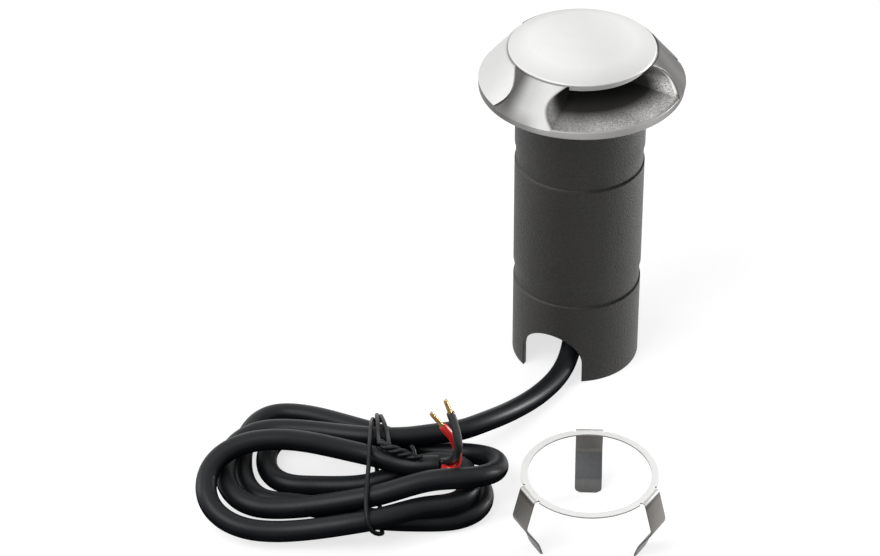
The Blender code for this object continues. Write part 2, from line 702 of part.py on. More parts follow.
def build_optics(light):
    """What sits in the spigot's bore, from the lens gasket down to the board with the light source."""
    glass_radius = SPIGOT_BORE_RADIUS - GAP
    gasket_top = LENS_SHOULDER - GAP
    gasket_bottom = gasket_top - LENS_GASKET_THICKNESS
    gasket = washer(glass_radius, LIGHT_BORE_RADIUS + GAP, gasket_bottom, gasket_top)
    add_turned("lens_gasket", gasket, "black_rubber", light, MEDIUM)
    glass_top = gasket_bottom - GAP
    glass_bottom = glass_top - LENS_THICKNESS
    add_turned("lens_glass", rod(glass_radius, glass_bottom, glass_top), "clear_glass", light, MEDIUM)
    retainer_top = glass_bottom - GAP
    retainer_inner = glass_radius - RETAINER_RADIAL_WIDTH
    retainer = washer(glass_radius, retainer_inner, retainer_top - RETAINER_HEIGHT, retainer_top)
    add_turned("lens_retainer", retainer, "black_nylon", light, MEDIUM)
    board_top = SPIGOT_BOTTOM + LED_BOARD_THICKNESS
    add_turned("led_board", rod(glass_radius, SPIGOT_BOTTOM, board_top), "white_laminate", light, MEDIUM)
    half = LED_WIDTH / 2
    led_top = board_top + GAP + LED_HEIGHT
    led = box_mesh("led_package", (-half, -half, board_top + GAP), (half, half, led_top))
    add_part("led_package", led, "led_phosphor", light)
    collimator = (
        (0, retainer_top),
        (retainer_inner - GAP, retainer_top),
        (retainer_inner - GAP, retainer_top - RETAINER_HEIGHT),
        (COLLIMATOR_BASE_RADIUS, led_top + GAP),
        (0, led_top + GAP),
    )
    add_turned("collimator", collimator, "clear_glass", light, MEDIUM)


def build_seals(light):
    """The flat gasket under the rim and the ring that seals the spigot in the tube."""
    bottom = BODY_HEIGHT + GAP
    inner = SPIGOT_RADIUS + 2 * GAP
    flat = washer(inner + FLANGE_GASKET_WIDTH, inner, bottom, bottom + FLANGE_GASKET_THICKNESS)
    add_turned("flange_gasket", flat, "black_rubber", light)
    groove_middle = FLANGE_Z - O_RING_GROOVE_TOP - O_RING_GROOVE_HEIGHT / 2
    inner = SPIGOT_RADIUS - O_RING_GROOVE_DEPTH + GAP
    outer = BODY_BORE - GAP
    half = (outer - inner) / 2
    ring = []
    for angle in np.linspace(math.pi / 2, -1.5 * math.pi, 8, endpoint=False):
        ring.append((inner + half + half * math.cos(angle), groove_middle + half * math.sin(angle)))
    add_turned("body_o_ring", ring, "black_rubber", light)


def sink_screw_places():
    """The heat sink's screws, midway between the cap's screws."""
    return [(*polar(SINK_SCREW_CIRCLE, azimuth + math.pi), 0) for azimuth in CAP_SCREW_AZIMUTHS]


def build_heat_sink(light):
    """The turned heat sink under the spigot, with a slot for the light source's leads, and its screws."""
    profile = [(0, SINK_TOP), (SPIGOT_RADIUS, SINK_TOP), (SPIGOT_RADIUS, SINK_FLANGE_BOTTOM)]
    pitch = SINK_HEIGHT / SINK_FINS
    for number in range(1, SINK_FINS + 1):
        fin_bottom = SINK_FLANGE_BOTTOM - number * pitch
        fin_top = fin_bottom + SINK_FIN_THICKNESS
        profile += [(SINK_CORE_RADIUS, fin_bottom + pitch), (SINK_CORE_RADIUS, fin_top)]
        profile += [(SINK_FIN_RADIUS, fin_top), (SINK_FIN_RADIUS, fin_bottom)]
    profile.append((0, SINK_BOTTOM))
    sink = add_turned("heat_sink", profile, "bare_aluminium", light, MEDIUM)
    low = (LEAD_SLOT_INNER, -LEAD_SLOT_HALF_WIDTH, SINK_BOTTOM - OVERRUN)
    high = (SINK_FIN_RADIUS + GAP, LEAD_SLOT_HALF_WIDTH, SINK_TOP + OVERRUN)
    cut(sink, add_cutter("lead_slot_cutter", box_mesh("lead_slot_cutter", low, high), light))
    head_top = SINK_FLANGE_BOTTOM - GAP
    for number, place in enumerate(sink_screw_places(), 1):
        hole = rod(SINK_SCREW_RADIUS + GAP, SINK_FLANGE_BOTTOM - OVERRUN, SINK_TOP + OVERRUN)
        cut_turned(sink, f"sink_hole_cutter_{number}", hole, light, location=place)
        screw_top = SPIGOT_BOTTOM + SINK_SCREW_GRIP - GAP
        screw = (
            (0, screw_top),
            (SINK_SCREW_RADIUS, screw_top),
            (SINK_SCREW_RADIUS, head_top),
            (SINK_SCREW_HEAD_RADIUS, head_top),
            (SINK_SCREW_HEAD_RADIUS, head_top - SINK_SCREW_HEAD_HEIGHT),
            (0, head_top - SINK_SCREW_HEAD_HEIGHT),
        )
        add_turned(f"sink_screw_{number}", screw, "screw_steel", light, COARSE, place)
    lead_x = (LEAD_SLOT_INNER + SINK_FIN_RADIUS) / 2
    for name, finish, side in (("led_lead_red", "red_insulation", -1), ("led_lead_black", "black_insulation", 1)):
        y = side * LED_LEAD_SPACING / 2
        route = [(lead_x, y, DRIVER_TOP + GAP), (lead_x, y, SINK_TOP)]
        add_part(name, tube_curve(name, route, LED_LEAD_RADIUS, 1), finish, light)


def build_driver(light):
    """The driver board under the heat sink, its standoffs and the parts on its underside."""
    board = rod(DRIVER_BOARD_RADIUS, DRIVER_BOTTOM, DRIVER_TOP)
    add_turned("driver_board", board, "green_laminate", light, MEDIUM)
    standoff = rod(STANDOFF_RADIUS, DRIVER_TOP + GAP, SINK_BOTTOM - GAP)
    for number, azimuth in enumerate(CAP_SCREW_AZIMUTHS, 1):
        place = (*polar(STANDOFF_CIRCLE, azimuth), 0)
        add_turned(f"board_standoff_{number}", standoff, "screw_steel", light, COARSE, place)
    under = DRIVER_BOTTOM - GAP
    can = rod(CAPACITOR_RADIUS, under - CAPACITOR_HEIGHT, under)
    place = (-BOARD_PART_CIRCLE, 0, 0)
    add_turned("driver_capacitor", can, "capacitor_sleeve", light, COARSE, place)
    spool_bottom = under - INDUCTOR_HEIGHT
    spool = (
        (0, under),
        (INDUCTOR_RADIUS, under),
        (INDUCTOR_RADIUS, under - INDUCTOR_FLANGE),
        (INDUCTOR_CORE_RADIUS, under - INDUCTOR_FLANGE),
        (INDUCTOR_CORE_RADIUS, spool_bottom + INDUCTOR_FLANGE),
        (INDUCTOR_RADIUS, spool_bottom + INDUCTOR_FLANGE),
        (INDUCTOR_RADIUS, spool_bottom),
        (0, spool_bottom),
    )
    add_turned("driver_inductor", spool, "bare_copper", light, COARSE, (0, BOARD_PART_CIRCLE, 0))
    length, width, height = TERMINAL_SIZE
    low = (TERMINAL_INNER, -width / 2, under - height)
    high = (TERMINAL_INNER + length, width / 2, under)
    add_part("terminal_block", box_mesh("terminal_block", low, high), "black_nylon", light)


def build_gland(light):
    """The gland in the bulkhead: body, lock nut above, seal and cap nut below."""
    body_profile = (
        (GLAND_THREAD_RADIUS, GLAND_TOP),
        (GLAND_THREAD_RADIUS, GLAND_HEX_BOTTOM + GLAND_HEX_HEIGHT / 2),
        (GLAND_CAP_THREAD_RADIUS, GLAND_HEX_BOTTOM + GLAND_HEX_HEIGHT / 2),
        (GLAND_CAP_THREAD_RADIUS, GLAND_HEX_BOTTOM - GLAND_CAP_THREAD_LENGTH),
        (CABLE_BORE, GLAND_HEX_BOTTOM - GLAND_CAP_THREAD_LENGTH),
        (CABLE_BORE, GLAND_TOP),
    )
    body = add_turned("gland_body", body_profile, "black_nylon", light, MEDIUM)
    hexagon = prism_mesh("gland_hex", GLAND_HEX_RADIUS, GLAND_HEX_BOTTOM, GLAND_HEX_TOP, 6)
    unite(body, add_cutter("gland_hex", hexagon, light))
    bore = rod(CABLE_BORE, GLAND_HEX_BOTTOM - OVERRUN, GLAND_HEX_TOP + OVERRUN)
    cut_turned(body, "gland_bore_cutter", bore, light, MEDIUM)
    nut_bottom = BULKHEAD_TOP + GAP
    nut_top = nut_bottom + GLAND_LOCK_NUT_HEIGHT
    nut = prism_mesh("gland_lock_nut", GLAND_HEX_RADIUS, nut_bottom, nut_top, 6)
    lock_nut = add_part("gland_lock_nut", nut, "black_nylon", light)
    bore = rod(GLAND_THREAD_RADIUS + GAP, nut_bottom - OVERRUN, nut_top + OVERRUN)
    cut_turned(lock_nut, "lock_nut_bore_cutter", bore, light, MEDIUM)
    seal_top = GLAND_HEX_BOTTOM - GLAND_CAP_THREAD_LENGTH - GAP
    seal = washer(GLAND_SEAL_RADIUS, CABLE_BORE, seal_top - GLAND_SEAL_HEIGHT, seal_top)
    add_turned("gland_seal", seal, "black_rubber", light, MEDIUM)
    floor_top = GLAND_NUT_BOTTOM + GLAND_NUT_FLOOR
    mouth = CABLE_BORE + GAP
    cap_nut = (
        (GLAND_NUT_RADIUS, GLAND_NUT_TOP),
        (GLAND_NUT_RADIUS, seal_top),
        (GLAND_NUT_MOUTH_RADIUS, GLAND_NUT_BOTTOM),
        (mouth, GLAND_NUT_BOTTOM),
        (mouth, floor_top),
        (GLAND_SEAL_RADIUS + GAP, floor_top),
        (GLAND_SEAL_RADIUS + GAP, seal_top),
        (GLAND_CAP_THREAD_RADIUS + GAP, seal_top),
        (GLAND_CAP_THREAD_RADIUS + GAP, GLAND_NUT_TOP),
    )
    add_turned("gland_nut", cap_nut, "black_nylon", light, MEDIUM)


def build_inner_cable(light):
    """The cable's end inside the light and its two cores, bent over into the terminal block."""
    tail_top = GLAND_TOP + TAIL_ABOVE_GLAND
    tail = rod(CABLE_RADIUS, GLAND_NUT_BOTTOM + GAP, tail_top)
    add_turned("cable_tail", tail, "black_rubber", light, MEDIUM)
    core_start = tail_top + GAP
    core_height = DRIVER_BOTTOM - GAP - TERMINAL_SIZE[2] / 2
    for name, finish, side in (("inner_wire_red", "red_insulation", -1), ("inner_wire_black", "black_insulation", 1)):
        y = side * CORE_SPACING / 2
        bend = ((0, y, core_start), (0, y, core_height), (TERMINAL_INNER - GAP, y, core_height))
        route = rounded(bend, (core_height - core_start - GAP,), 5)
        add_part(name, tube_curve(name, route, CORE_RADIUS, 1), finish, light)


def build_ring(stand):
    """The flat ring, with a relief notch at each side of each clip's tab."""
    ring = washer(RING_RADIUS, RING_RADIUS - RING_WIDTH, RING_TOP - RING_THICKNESS, RING_TOP)
    made = add_turned("mounting_ring", ring, "polished_steel", stand)
    low_z = RING_TOP - RING_THICKNESS - OVERRUN
    for number, azimuth in enumerate(CLIP_AZIMUTHS, 1):
        for side in (-1, 1):
            near = side * CLIP_WIDTH / 2
            far = near + side * RELIEF_WIDTH
            low = (min(near, far), RING_RADIUS - RELIEF_DEPTH, low_z)
            high = (max(near, far), RING_RADIUS + OVERRUN, RING_TOP + OVERRUN)
            name = f"relief_cutter_{number}_{'left' if side < 0 else 'right'}"
            cut(made, add_cutter(name, box_mesh(name, low, high), stand, turn=-azimuth))


def clip_path():
    """The clip's bent line in its own frame: reach outwards and height up from the hinge, down to its foot."""
    knee = np.array((CLIP_KNEE_REACH, -CLIP_KNEE_DROP))
    corners = (
        knee * -CLIP_HEAD / np.linalg.norm(knee),
        knee,
        (CLIP_WAIST_REACH, -CLIP_WAIST_DROP),
        (CLIP_ANKLE_REACH, -CLIP_ANKLE_DROP),
        (CLIP_TIP_REACH, -CLIP_TIP_DROP),
    )
    path = rounded(corners, (CLIP_BEND_RADIUS, CLIP_BEND_RADIUS, CLIP_BEND_RADIUS), 3)
    tip = path.pop()
    upwards = (path[-1] - tip) / np.linalg.norm(path[-1] - tip)
    return path + [tip + upwards * CLIP_CORNER_RADIUS * share for share in (1, 0.5, 0.2, 0)]


def build_clips(stand):
    """The three bent spring strips, each with its origin on the line at the ring where it flexes."""
    tip = np.array((CLIP_TIP_REACH, -CLIP_TIP_DROP))
    names = ("spring_clip_rear", "spring_clip_right", "spring_clip_left")
    for name, azimuth in zip(names, CLIP_AZIMUTHS):
        bm = bmesh.new()
        rows = []
        for reach, height in clip_path():
            from_tip = math.dist((reach, height), tip)
            into_corner = max(CLIP_CORNER_RADIUS - from_tip, 0)
            half = CLIP_WIDTH / 2 - CLIP_CORNER_RADIUS + math.sqrt(CLIP_CORNER_RADIUS**2 - into_corner**2)
            rows.append([bm.verts.new((x, reach, height)) for x in (-half, half)])
        for above, below in zip(rows, rows[1:]):
            bm.faces.new((above[0], above[1], below[1], below[0]))
        x, y = polar(HINGE_RADIUS, math.pi - azimuth)
        place = (x, y, RING_TOP - RING_THICKNESS / 2)
        clip = add_part(name, mesh_from(name, bm), "spring_steel", stand, place, -azimuth)
        thicken = clip.modifiers.new("thicken", "SOLIDIFY")
        thicken.thickness = RING_THICKNESS
        thicken.offset = 0
        thicken.use_even_offset = True


def hank_turn(side, first, centre_x, centre_y, reach, half_width, z_in, z_out):
    """Points round one end of the hank, a half turn from one run to the next."""
    points = []
    for angle in np.linspace(0, math.pi, HANK_TURN_POINTS):
        across = math.cos(angle)
        x = centre_x + side * reach * math.sin(angle) ** HANK_FULLNESS if 0 < angle < math.pi else centre_x
        y = centre_y + first * half_width * math.copysign(abs(across) ** HANK_FULLNESS, across)
        points.append((x, y, z_in + (z_out - z_in) * (1 - across) / 2))
    return points


def hermite(start, stop, start_slope, stop_slope, share):
    """The point this share of the way along the cubic with these ends and slopes."""
    rest = 1 - share
    ends = rest**2 * (1 + 2 * share) * start + share**2 * (3 - 2 * share) * stop
    return ends + share * rest**2 * start_slope - share**2 * rest * stop_slope


def hank_run(start, stop, start_heading, stop_heading, waist):
    """Points strictly between two turns, through the run's place at the tie."""
    start, stop, waist = (np.array(place, float) for place in (start, stop, waist))
    chord = (stop - start) / abs(stop[0] - start[0])
    halves = ((start, waist, np.array(start_heading), chord), (waist, stop, chord, np.array(stop_heading)))
    points = []
    for near, far, near_heading, far_heading in halves:
        reach = abs(far[0] - near[0])
        for share in np.arange(1, HANK_RUN_STEPS + 1) / HANK_RUN_STEPS:
            points.append(hermite(near, far, near_heading * reach, far_heading * reach, share))
    return points[:-1]


def unit(way):
    return np.array(way, float) / np.linalg.norm(way)


def hank_route():
    """The hank's centre line: turns at its left and right ends, joined by runs, and both its ends straight."""
    straight = 2 * CABLE_RADIUS
    heading = unit(np.subtract(LEAD_ROUTE[-1], LEAD_ROUTE[-2]))
    start = np.array(LEAD_ROUTE[-1]) + heading * GAP
    route = [start, start + heading * straight]
    for turn, waist in zip(HANK_TURNS, HANK_RUNS):
        points = hank_turn(*turn)
        outward = np.array((turn[0], 0, 0))
        route += hank_run(route[-1], points[0], heading, outward, (HANK_TIE_X, *waist))
        route += points
        heading = -outward
    end_heading = unit(HANK_END_HEADING)
    straight_start = np.array(HANK_END) - end_heading * straight
    route += hank_run(route[-1], straight_start, heading, end_heading, (HANK_TIE_X, *HANK_RUNS[-1]))
    route += [straight_start, HANK_END]
    return np.array(route, float)


def least_gap(route, radius):
    """The least gap between stretches of a tube that aren't neighbours along it."""
    lengths = np.linalg.norm(np.diff(route, axis=0), axis=1)
    along = np.concatenate([[0], np.cumsum(lengths)])
    probes = np.arange(0, along[-1], HANK_PROBE)
    points = np.stack([np.interp(probes, along, route[:, axis]) for axis in range(3)], axis=1)
    apart = np.linalg.norm(points[:, None] - points[None], axis=2)
    neighbours = abs(probes[:, None] - probes[None]) < HANK_NEIGHBOUR_SHARE * 2 * radius
    return apart[~neighbours].min() - 2 * radius


def build_cable(light):
    """The free stretch from the gland, then the hank as one unbroken tube."""
    lead = smooth_route(LEAD_ROUTE, LEAD_STEPS)
    add_part("cable_lead", tube_curve("cable_lead", lead, CABLE_RADIUS, 2), "black_rubber", light)
    hank = hank_route()
    add_part("cable_hank", tube_curve("cable_hank", hank, CABLE_RADIUS, 1), "black_rubber", light)
    gap = least_gap(np.concatenate([lead, hank]), CABLE_RADIUS)
    length = np.linalg.norm(np.diff(np.concatenate([lead, hank]), axis=0), axis=1).sum()
    print(f"cable length {length:.3f} m, least gap of the hank to itself {gap * 1000:.2f} mm")


def build_cores(light):
    """The red and black cores that stand out of the cable's free end, each with its bare strands."""
    ends = (("red", RED_ROUTE, RED_TIP), ("black", BLACK_ROUTE, BLACK_TIP))
    for colour, route, tip in ends:
        core = tube_curve(f"core_{colour}", smooth_route(route, 2), CORE_RADIUS, 1)
        add_part(f"core_{colour}", core, f"{colour}_insulation", light)
        tip, end = np.array(tip), np.array(route[-1])
        start = end + (tip - end) * GAP / np.linalg.norm(tip - end)
        strands = tube_curve(f"copper_{colour}", (start, tip), COPPER_RADIUS, 1)
        add_part(f"copper_{colour}", strands, "bare_copper", light)


def build_tie(light):
    """The elastic loop round the hank's runs, taut over the outermost of them."""
    reach = CABLE_RADIUS + TIE_SLACK + TIE_RADIUS
    runs = np.array(HANK_RUNS)
    points = []
    for angle in np.linspace(0, 2 * math.pi, TIE_POINTS, endpoint=False):
        way = np.array((math.cos(angle), math.sin(angle)))
        outermost = runs[np.argmax(runs @ way)]
        points.append((HANK_TIE_X, *(outermost + reach * way)))
    data = tube_curve("cable_tie", points, TIE_RADIUS, 1)
    data.splines[0].use_cyclic_u = True
    data.use_fill_caps = False
    add_part("cable_tie", data, "black_rubber", light)


clear_scene()
PARTS = add_collection("uplight")
CUTTERS = add_collection("cutters")
MATERIALS = {name: add_material(name, *look) for name, look in FINISHES.items()}
light_axis = add_empty("light_axis", (0, LIGHT_Y, 0))
ring_stand = add_empty("ring_stand", (RING_X, LIGHT_Y - RING_DISTANCE, 0))
build_housing(light_axis)
build_head_shell(light_axis)
build_window_blanks(light_axis)
build_cap(light_axis)
build_reflector(light_axis)
build_optics(light_axis)
build_seals(light_axis)
build_heat_sink(light_axis)
build_driver(light_axis)
build_gland(light_axis)
build_inner_cable(light_axis)
build_ring(ring_stand)
build_clips(ring_stand)
build_cable(light_axis)
build_cores(light_axis)
build_tie(light_axis)
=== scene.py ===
"""Studio scene of a recessed ground uplight, its loose mounting ring and its tied supply cable.

Metres, +Z up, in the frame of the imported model. The light stands on its axis at LIGHT_Y, and azimuths go
round it from the front (-Y) to the right (+X).
"""

import json
import math

import bmesh
import bpy
import numpy as np
from mathutils import Matrix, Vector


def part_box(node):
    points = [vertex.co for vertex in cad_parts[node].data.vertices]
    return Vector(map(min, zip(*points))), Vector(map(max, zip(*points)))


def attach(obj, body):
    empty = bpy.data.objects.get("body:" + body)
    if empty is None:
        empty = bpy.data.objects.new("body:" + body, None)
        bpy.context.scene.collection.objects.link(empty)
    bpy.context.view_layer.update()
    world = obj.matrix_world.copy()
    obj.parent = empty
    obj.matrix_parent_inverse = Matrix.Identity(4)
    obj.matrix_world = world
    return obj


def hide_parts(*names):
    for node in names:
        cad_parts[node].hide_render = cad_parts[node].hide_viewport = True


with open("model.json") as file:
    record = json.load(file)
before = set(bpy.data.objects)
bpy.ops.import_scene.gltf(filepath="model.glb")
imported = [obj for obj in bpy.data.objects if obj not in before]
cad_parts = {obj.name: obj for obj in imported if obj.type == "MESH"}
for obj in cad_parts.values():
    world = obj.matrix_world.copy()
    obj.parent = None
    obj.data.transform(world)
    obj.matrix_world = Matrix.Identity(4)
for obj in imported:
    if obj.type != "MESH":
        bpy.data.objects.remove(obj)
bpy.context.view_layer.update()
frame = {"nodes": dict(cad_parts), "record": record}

# Places taken from the frame
housing_low, housing_high = np.array(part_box("housing_body"))
head_low, head_high = np.array(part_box("head_shell"))
ring_low, ring_high = np.array(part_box("mounting_ring"))
LIGHT_Y = (housing_low[1] + housing_high[1]) / 2
RING_X = (ring_low[0] + ring_high[0]) / 2
RING_Y = (ring_low[1] + ring_high[1]) / 2
BODY_RADIUS = (housing_high[0] - housing_low[0]) / 2
BODY_HEIGHT = housing_high[2]
RIM_RADIUS = (head_high[0] - head_low[0]) / 2
SHELL_TOP = head_high[2]
CAP_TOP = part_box("dome_cap")[1][2]
RING_RADIUS = (ring_high[0] - ring_low[0]) / 2
RING_TOP = ring_high[2]
RING_THICKNESS = ring_high[2] - ring_low[2]

# Housing tube
BODY_WALL = 0.002
GROOVE_DEPTH = 0.0004
GROOVE_HEIGHT = 0.0064
GROOVE_BOTTOMS = (0.0292, 0.0737)
GROOVE_SLOPE = 0.00022
GROOVE_ROUNDING = 0.00012
EDGE_ROUNDING = 0.0004
BULKHEAD_Z = 0.045
BULKHEAD_TOP = 0.048
GLAND_HOLE = 0.0066
BORE_ROUNDINGS = (0.0006, 0.0002, 0.0002, 0.0002)
NOTCH_AZIMUTH = math.radians(-27)
NOTCH_HALF_WIDTH = 0.0103
NOTCH_STRAIGHT = 0.0068
NOTCH_BLEND_TOP = 0.0277
NOTCH_FAN = math.radians(6)
BACK_COLUMNS = 190
ARCH_COLUMNS = 49
NOTCH_SIDE_COLUMNS = 8
OUTER_BLEND_ROWS = 13
INNER_BLEND_ROWS = 7
EDGE_ROWS = 5
TUBE_STEP = 0.004
BORE_STEP = 0.006

# Head
FLANGE_Z = 0.10045
SEAT_Z = 0.10065
SEAT_RADIUS = 0.023
RIM_TOP = 0.10305
SPIGOT_RADIUS = 0.0182
SPIGOT_BOTTOM = 0.08595
SPIGOT_BORE = 0.015
SEAL_GROOVE_TOP = FLANGE_Z - 0.005
SEAL_GROOVE_HEIGHT = 0.002
SEAL_GROOVE_DEPTH = 0.0013
LIGHT_BORE = 0.0126
LENS_SHOULDER = 0.1007
HEAD_ROUNDINGS = (0.0004, 0.00045, 0.0005, 0.00008, 0.00008, *[0.0002] * 9)
HEAD_STEP = 0.0015
TURNED_COLUMNS = 256
WINDOW_FLOOR_SLOPE = 0.15
# Windows by azimuth: the left one, the open one at the front and the rear one
WINDOW_AZIMUTHS = (math.radians(-96), math.radians(24), math.radians(144))
WINDOW_HALF_ANGLES = (math.radians(42.2), math.radians(48.2), math.radians(42.2))
WINDOW_HEIGHT_SHARES = (0, 0.15, 0.4, 0.65, 0.85, 1)
WINDOW_WIDTH_SHARES = (0.88, 0.95, 1, 0.97, 0.87, 0.775)
PILLAR_ROUNDING = 0.0009
PILLAR_SUNK_SHARE = -0.03
BLANK_ROUNDING = 0.0003
BLANK_DEPTH = 0.006
BLANK_GAP = 0.0002
BLOCK_ROWS = 27
BLOCK_CORNER_COLUMNS = 6
BLOCK_OUTER_COLUMNS = 24
BLOCK_INNER_COLUMNS = 10
BLOCK_SIDE_COLUMNS = 8
CAP_RADIUS = 0.023
CAP_BAND_TOP = 0.11415
CAP_SEAT = 0.11365
CAP_ROUNDINGS = (0.0006, 0.0002)
CAP_ROWS = 40
SKIRT_FALL = (RIM_RADIUS - CAP_RADIUS) / (CAP_BAND_TOP - RIM_TOP)

# Cable, its cores and its tie
CABLE_RADIUS = 0.00325
CABLE_STEP = 0.0013
CABLE_SIDES = 28
CABLE_EASINGS = 6
CUT_END_SHARE = 0.93
GUIDE_LEAN_SHARE = 1 / 16
CORE_RADIUS = 0.0013
CORE_STEPS = 8
CORE_SIDES = 18
CORE_END_SHARES = (0.9, 0.85)
STRAND_COUNT = 7
STRAND_RADIUS = 0.00026
STRAND_CIRCLE = 0.0005
STRAND_HIDDEN_SHARE = 0.25
STRAND_TWIST = 8.5
STRAND_NARROWING = 0.12
STRAND_TIP_SHARE = 0.7
STRAND_POINTS = 26
STRAND_SIDES = 8
TIE_RADIUS = 0.0007
TIE_CLEARANCE = 0.00012
TIE_POINTS = 120
TIE_WAYS = 181
TIE_EASINGS = 5
TIE_SIDES = 12
TIE_END_SHARES = (0.8, 0.8)
KNOT_STRANDS = 3
KNOT_REACH = 0.0006
KNOT_SWELL = 0.0004
KNOT_FLATNESS = 0.8
KNOT_TWIST = 9.5
KNOT_STEPS = 12

# The cable's route from the gland, measured from the light's axis
LEAD_ROUTE = (
    (0, 0, 0.034),
    (0, -0.0001, 0.0305),
    (-0.0001, -0.0014, 0.0240),
    (-0.0004, -0.0050, 0.0168),
    (-0.0012, -0.0105, 0.0110),
    (-0.0028, -0.0164, 0.0070),
    (-0.0058, -0.0224, 0.0047),
    (-0.0098, -0.0282, 0.0039),
    (-0.0144, -0.0342, 0.0042),
    (-0.0194, -0.0406, 0.0056),
    (-0.0249, -0.0473, 0.0076),
    (-0.0309, -0.0535, 0.0096),
    (-0.0380, -0.0590, 0.0109),
    (-0.0460, -0.0612, 0.0113),
)
HANK_TIE_X = -0.066
HANK_END = (-0.0447, -0.0817, 0.0153)
HANK_END_HEADING = (1, 0, 0.06)
# Each turn: side, first (1 starts at the back), centre x, centre y, reach, half width, z in, z out
HANK_TURNS = (
    (-1, 1, -0.0950, -0.0753, 0.0156, 0.0176, 0.0107, 0.0078),
    (1, -1, -0.0430, -0.0767, 0.0165, 0.0149, 0.0180, 0.0042),
    (-1, 1, -0.0940, -0.0622, 0.0123, 0.0222, 0.00325, 0.00325),
    (1, -1, -0.0450, -0.0819, 0.0140, 0.0118, 0.00325, 0.00325),
    (-1, 1, -0.0868, -0.0633, 0.0119, 0.0133, 0.00325, 0.00325),
    (1, 1, -0.0450, -0.0840, 0.0099, 0.0108, 0.0100, 0.0103),
    (-1, -1, -0.0945, -0.0869, 0.0213, 0.0143, 0.0057, 0.0186),
)
# Where each run passes through the tie: y and z
HANK_RUNS = (
    (-0.0638, 0.0122),
    (-0.0946, 0.0135),
    (-0.0521, 0.0051),
    (-0.0945, 0.0051),
    (-0.0637, 0.0051),
    (-0.0781, 0.0051),
    (-0.1017, 0.0102),
    (-0.0748, 0.0138),
)
HANK_TURN_POINTS = 13
HANK_RUN_STEPS = 5
LEAD_STEPS = 4
HANK_FULLNESS = 0.9
RED_ROUTE = (
    (-0.0443, -0.0831, 0.0153),
    (-0.0431, -0.0831, 0.0150),
    (-0.0416, -0.0826, 0.0142),
    (-0.0400, -0.0813, 0.0145),
    (-0.0391, -0.0801, 0.0167),
    (-0.0393, -0.0797, 0.0203),
    (-0.0406, -0.0796, 0.0242),
    (-0.0437, -0.0794, 0.0287),
)
RED_TIP = (-0.0472, -0.0793, 0.0336)
BLACK_ROUTE = (
    (-0.0443, -0.0803, 0.0153),
    (-0.0431, -0.0804, 0.0155),
    (-0.0415, -0.0811, 0.0166),
    (-0.0402, -0.0822, 0.0184),
    (-0.0392, -0.0831, 0.0211),
    (-0.0389, -0.0834, 0.0246),
    (-0.0394, -0.0834, 0.0290),
    (-0.0404, -0.0831, 0.0335),
    (-0.0413, -0.0829, 0.0365),
)
BLACK_TIP = (-0.0428, -0.0826, 0.0411)
CORES = (("red", RED_ROUTE, RED_TIP), ("black", BLACK_ROUTE, BLACK_TIP))

# The tie's place along the hank, by the share of its length from the light's side over the top and under
TIE_LEAN = (
    (0, 0.0007),
    (0.03, 0.0005),
    (0.12, 0.0003),
    (0.25, 0.0000),
    (0.31, -0.0001),
    (0.375, -0.0004),
    (0.44, -0.0007),
    (0.50, -0.0002),
    (0.53, 0.0027),
    (0.56, 0.0042),
    (0.65, 0.0034),
    (0.85, 0.0018),
)
# The tie's two ends over the top, from the light's side to the knot
TIE_OVERS = (
    (
        (-0.0642, -0.0475, 0.0060), (-0.0642, -0.0490, 0.0092), (-0.0640, -0.0560, 0.0140),
        (-0.0636, -0.0625, 0.0164), (-0.0634, -0.0690, 0.0172), (-0.0629, -0.0745, 0.0185),
        (-0.0612, -0.0775, 0.0189),
    ),
    (
        (-0.0631, -0.0478, 0.0058), (-0.0630, -0.0494, 0.0090), (-0.0626, -0.0562, 0.0139),
        (-0.0616, -0.0625, 0.0163), (-0.0607, -0.0680, 0.0170), (-0.0602, -0.0735, 0.0183),
        (-0.0598, -0.0772, 0.0187),
    ),
)
TIE_KNOT = (
    (-0.0628, -0.0745, 0.0186),
    (-0.0612, -0.0768, 0.0189),
    (-0.0590, -0.0786, 0.0190),
    (-0.0565, -0.0800, 0.0189),
    (-0.0540, -0.0812, 0.0188),
    (-0.0517, -0.0822, 0.0186),
)
TIE_ENDS = (
    ((-0.0522, -0.0818, 0.0190), (-0.0524, -0.0806, 0.0201), (-0.0533, -0.0794, 0.0211)),
    ((-0.0524, -0.0818, 0.0186), (-0.0510, -0.0826, 0.0192), (-0.0500, -0.0832, 0.0199)),
)

# Mounting ring and clips
RING_WIDTH = 0.00215
RING_ROUNDING = 0.0001
RING_COLUMNS = 720
# The clips' azimuths go round the ring from the back (+Y) to the right (+X)
CLIP_AZIMUTHS = (math.radians(2.4), math.radians(122.4), math.radians(242.4))
CLIP_WIDTH = 0.0083
CLIP_REACH = 0.00055
# Each clip's line from its tab to its foot: outwards and up from the ring's edge
CLIP_PATH = (
    (-0.0009, 0),
    (-0.00005, 0),
    (0.0027, -0.0102),
    (-0.0017, -0.0170),
    (-0.0027, -0.01995),
    (-0.0033, -0.02205),
)
CLIP_BENDS = (0.0005, 0.0014, 0.0011, 0.0016)
CLIP_CORNER = 0.0016
CLIP_ROUNDING = 0.00012
CLIP_STEP = 0.0005
RELIEF_WIDTH = 0.0007
RELIEF_DEPTH = 0.0005
RELIEF_SLOPE = 0.00012
EDGE_STEEPNESS = 0.5
# Moves the half of the ring that is opposite a clip out of that clip's reach
FAR_AWAY = 1e3

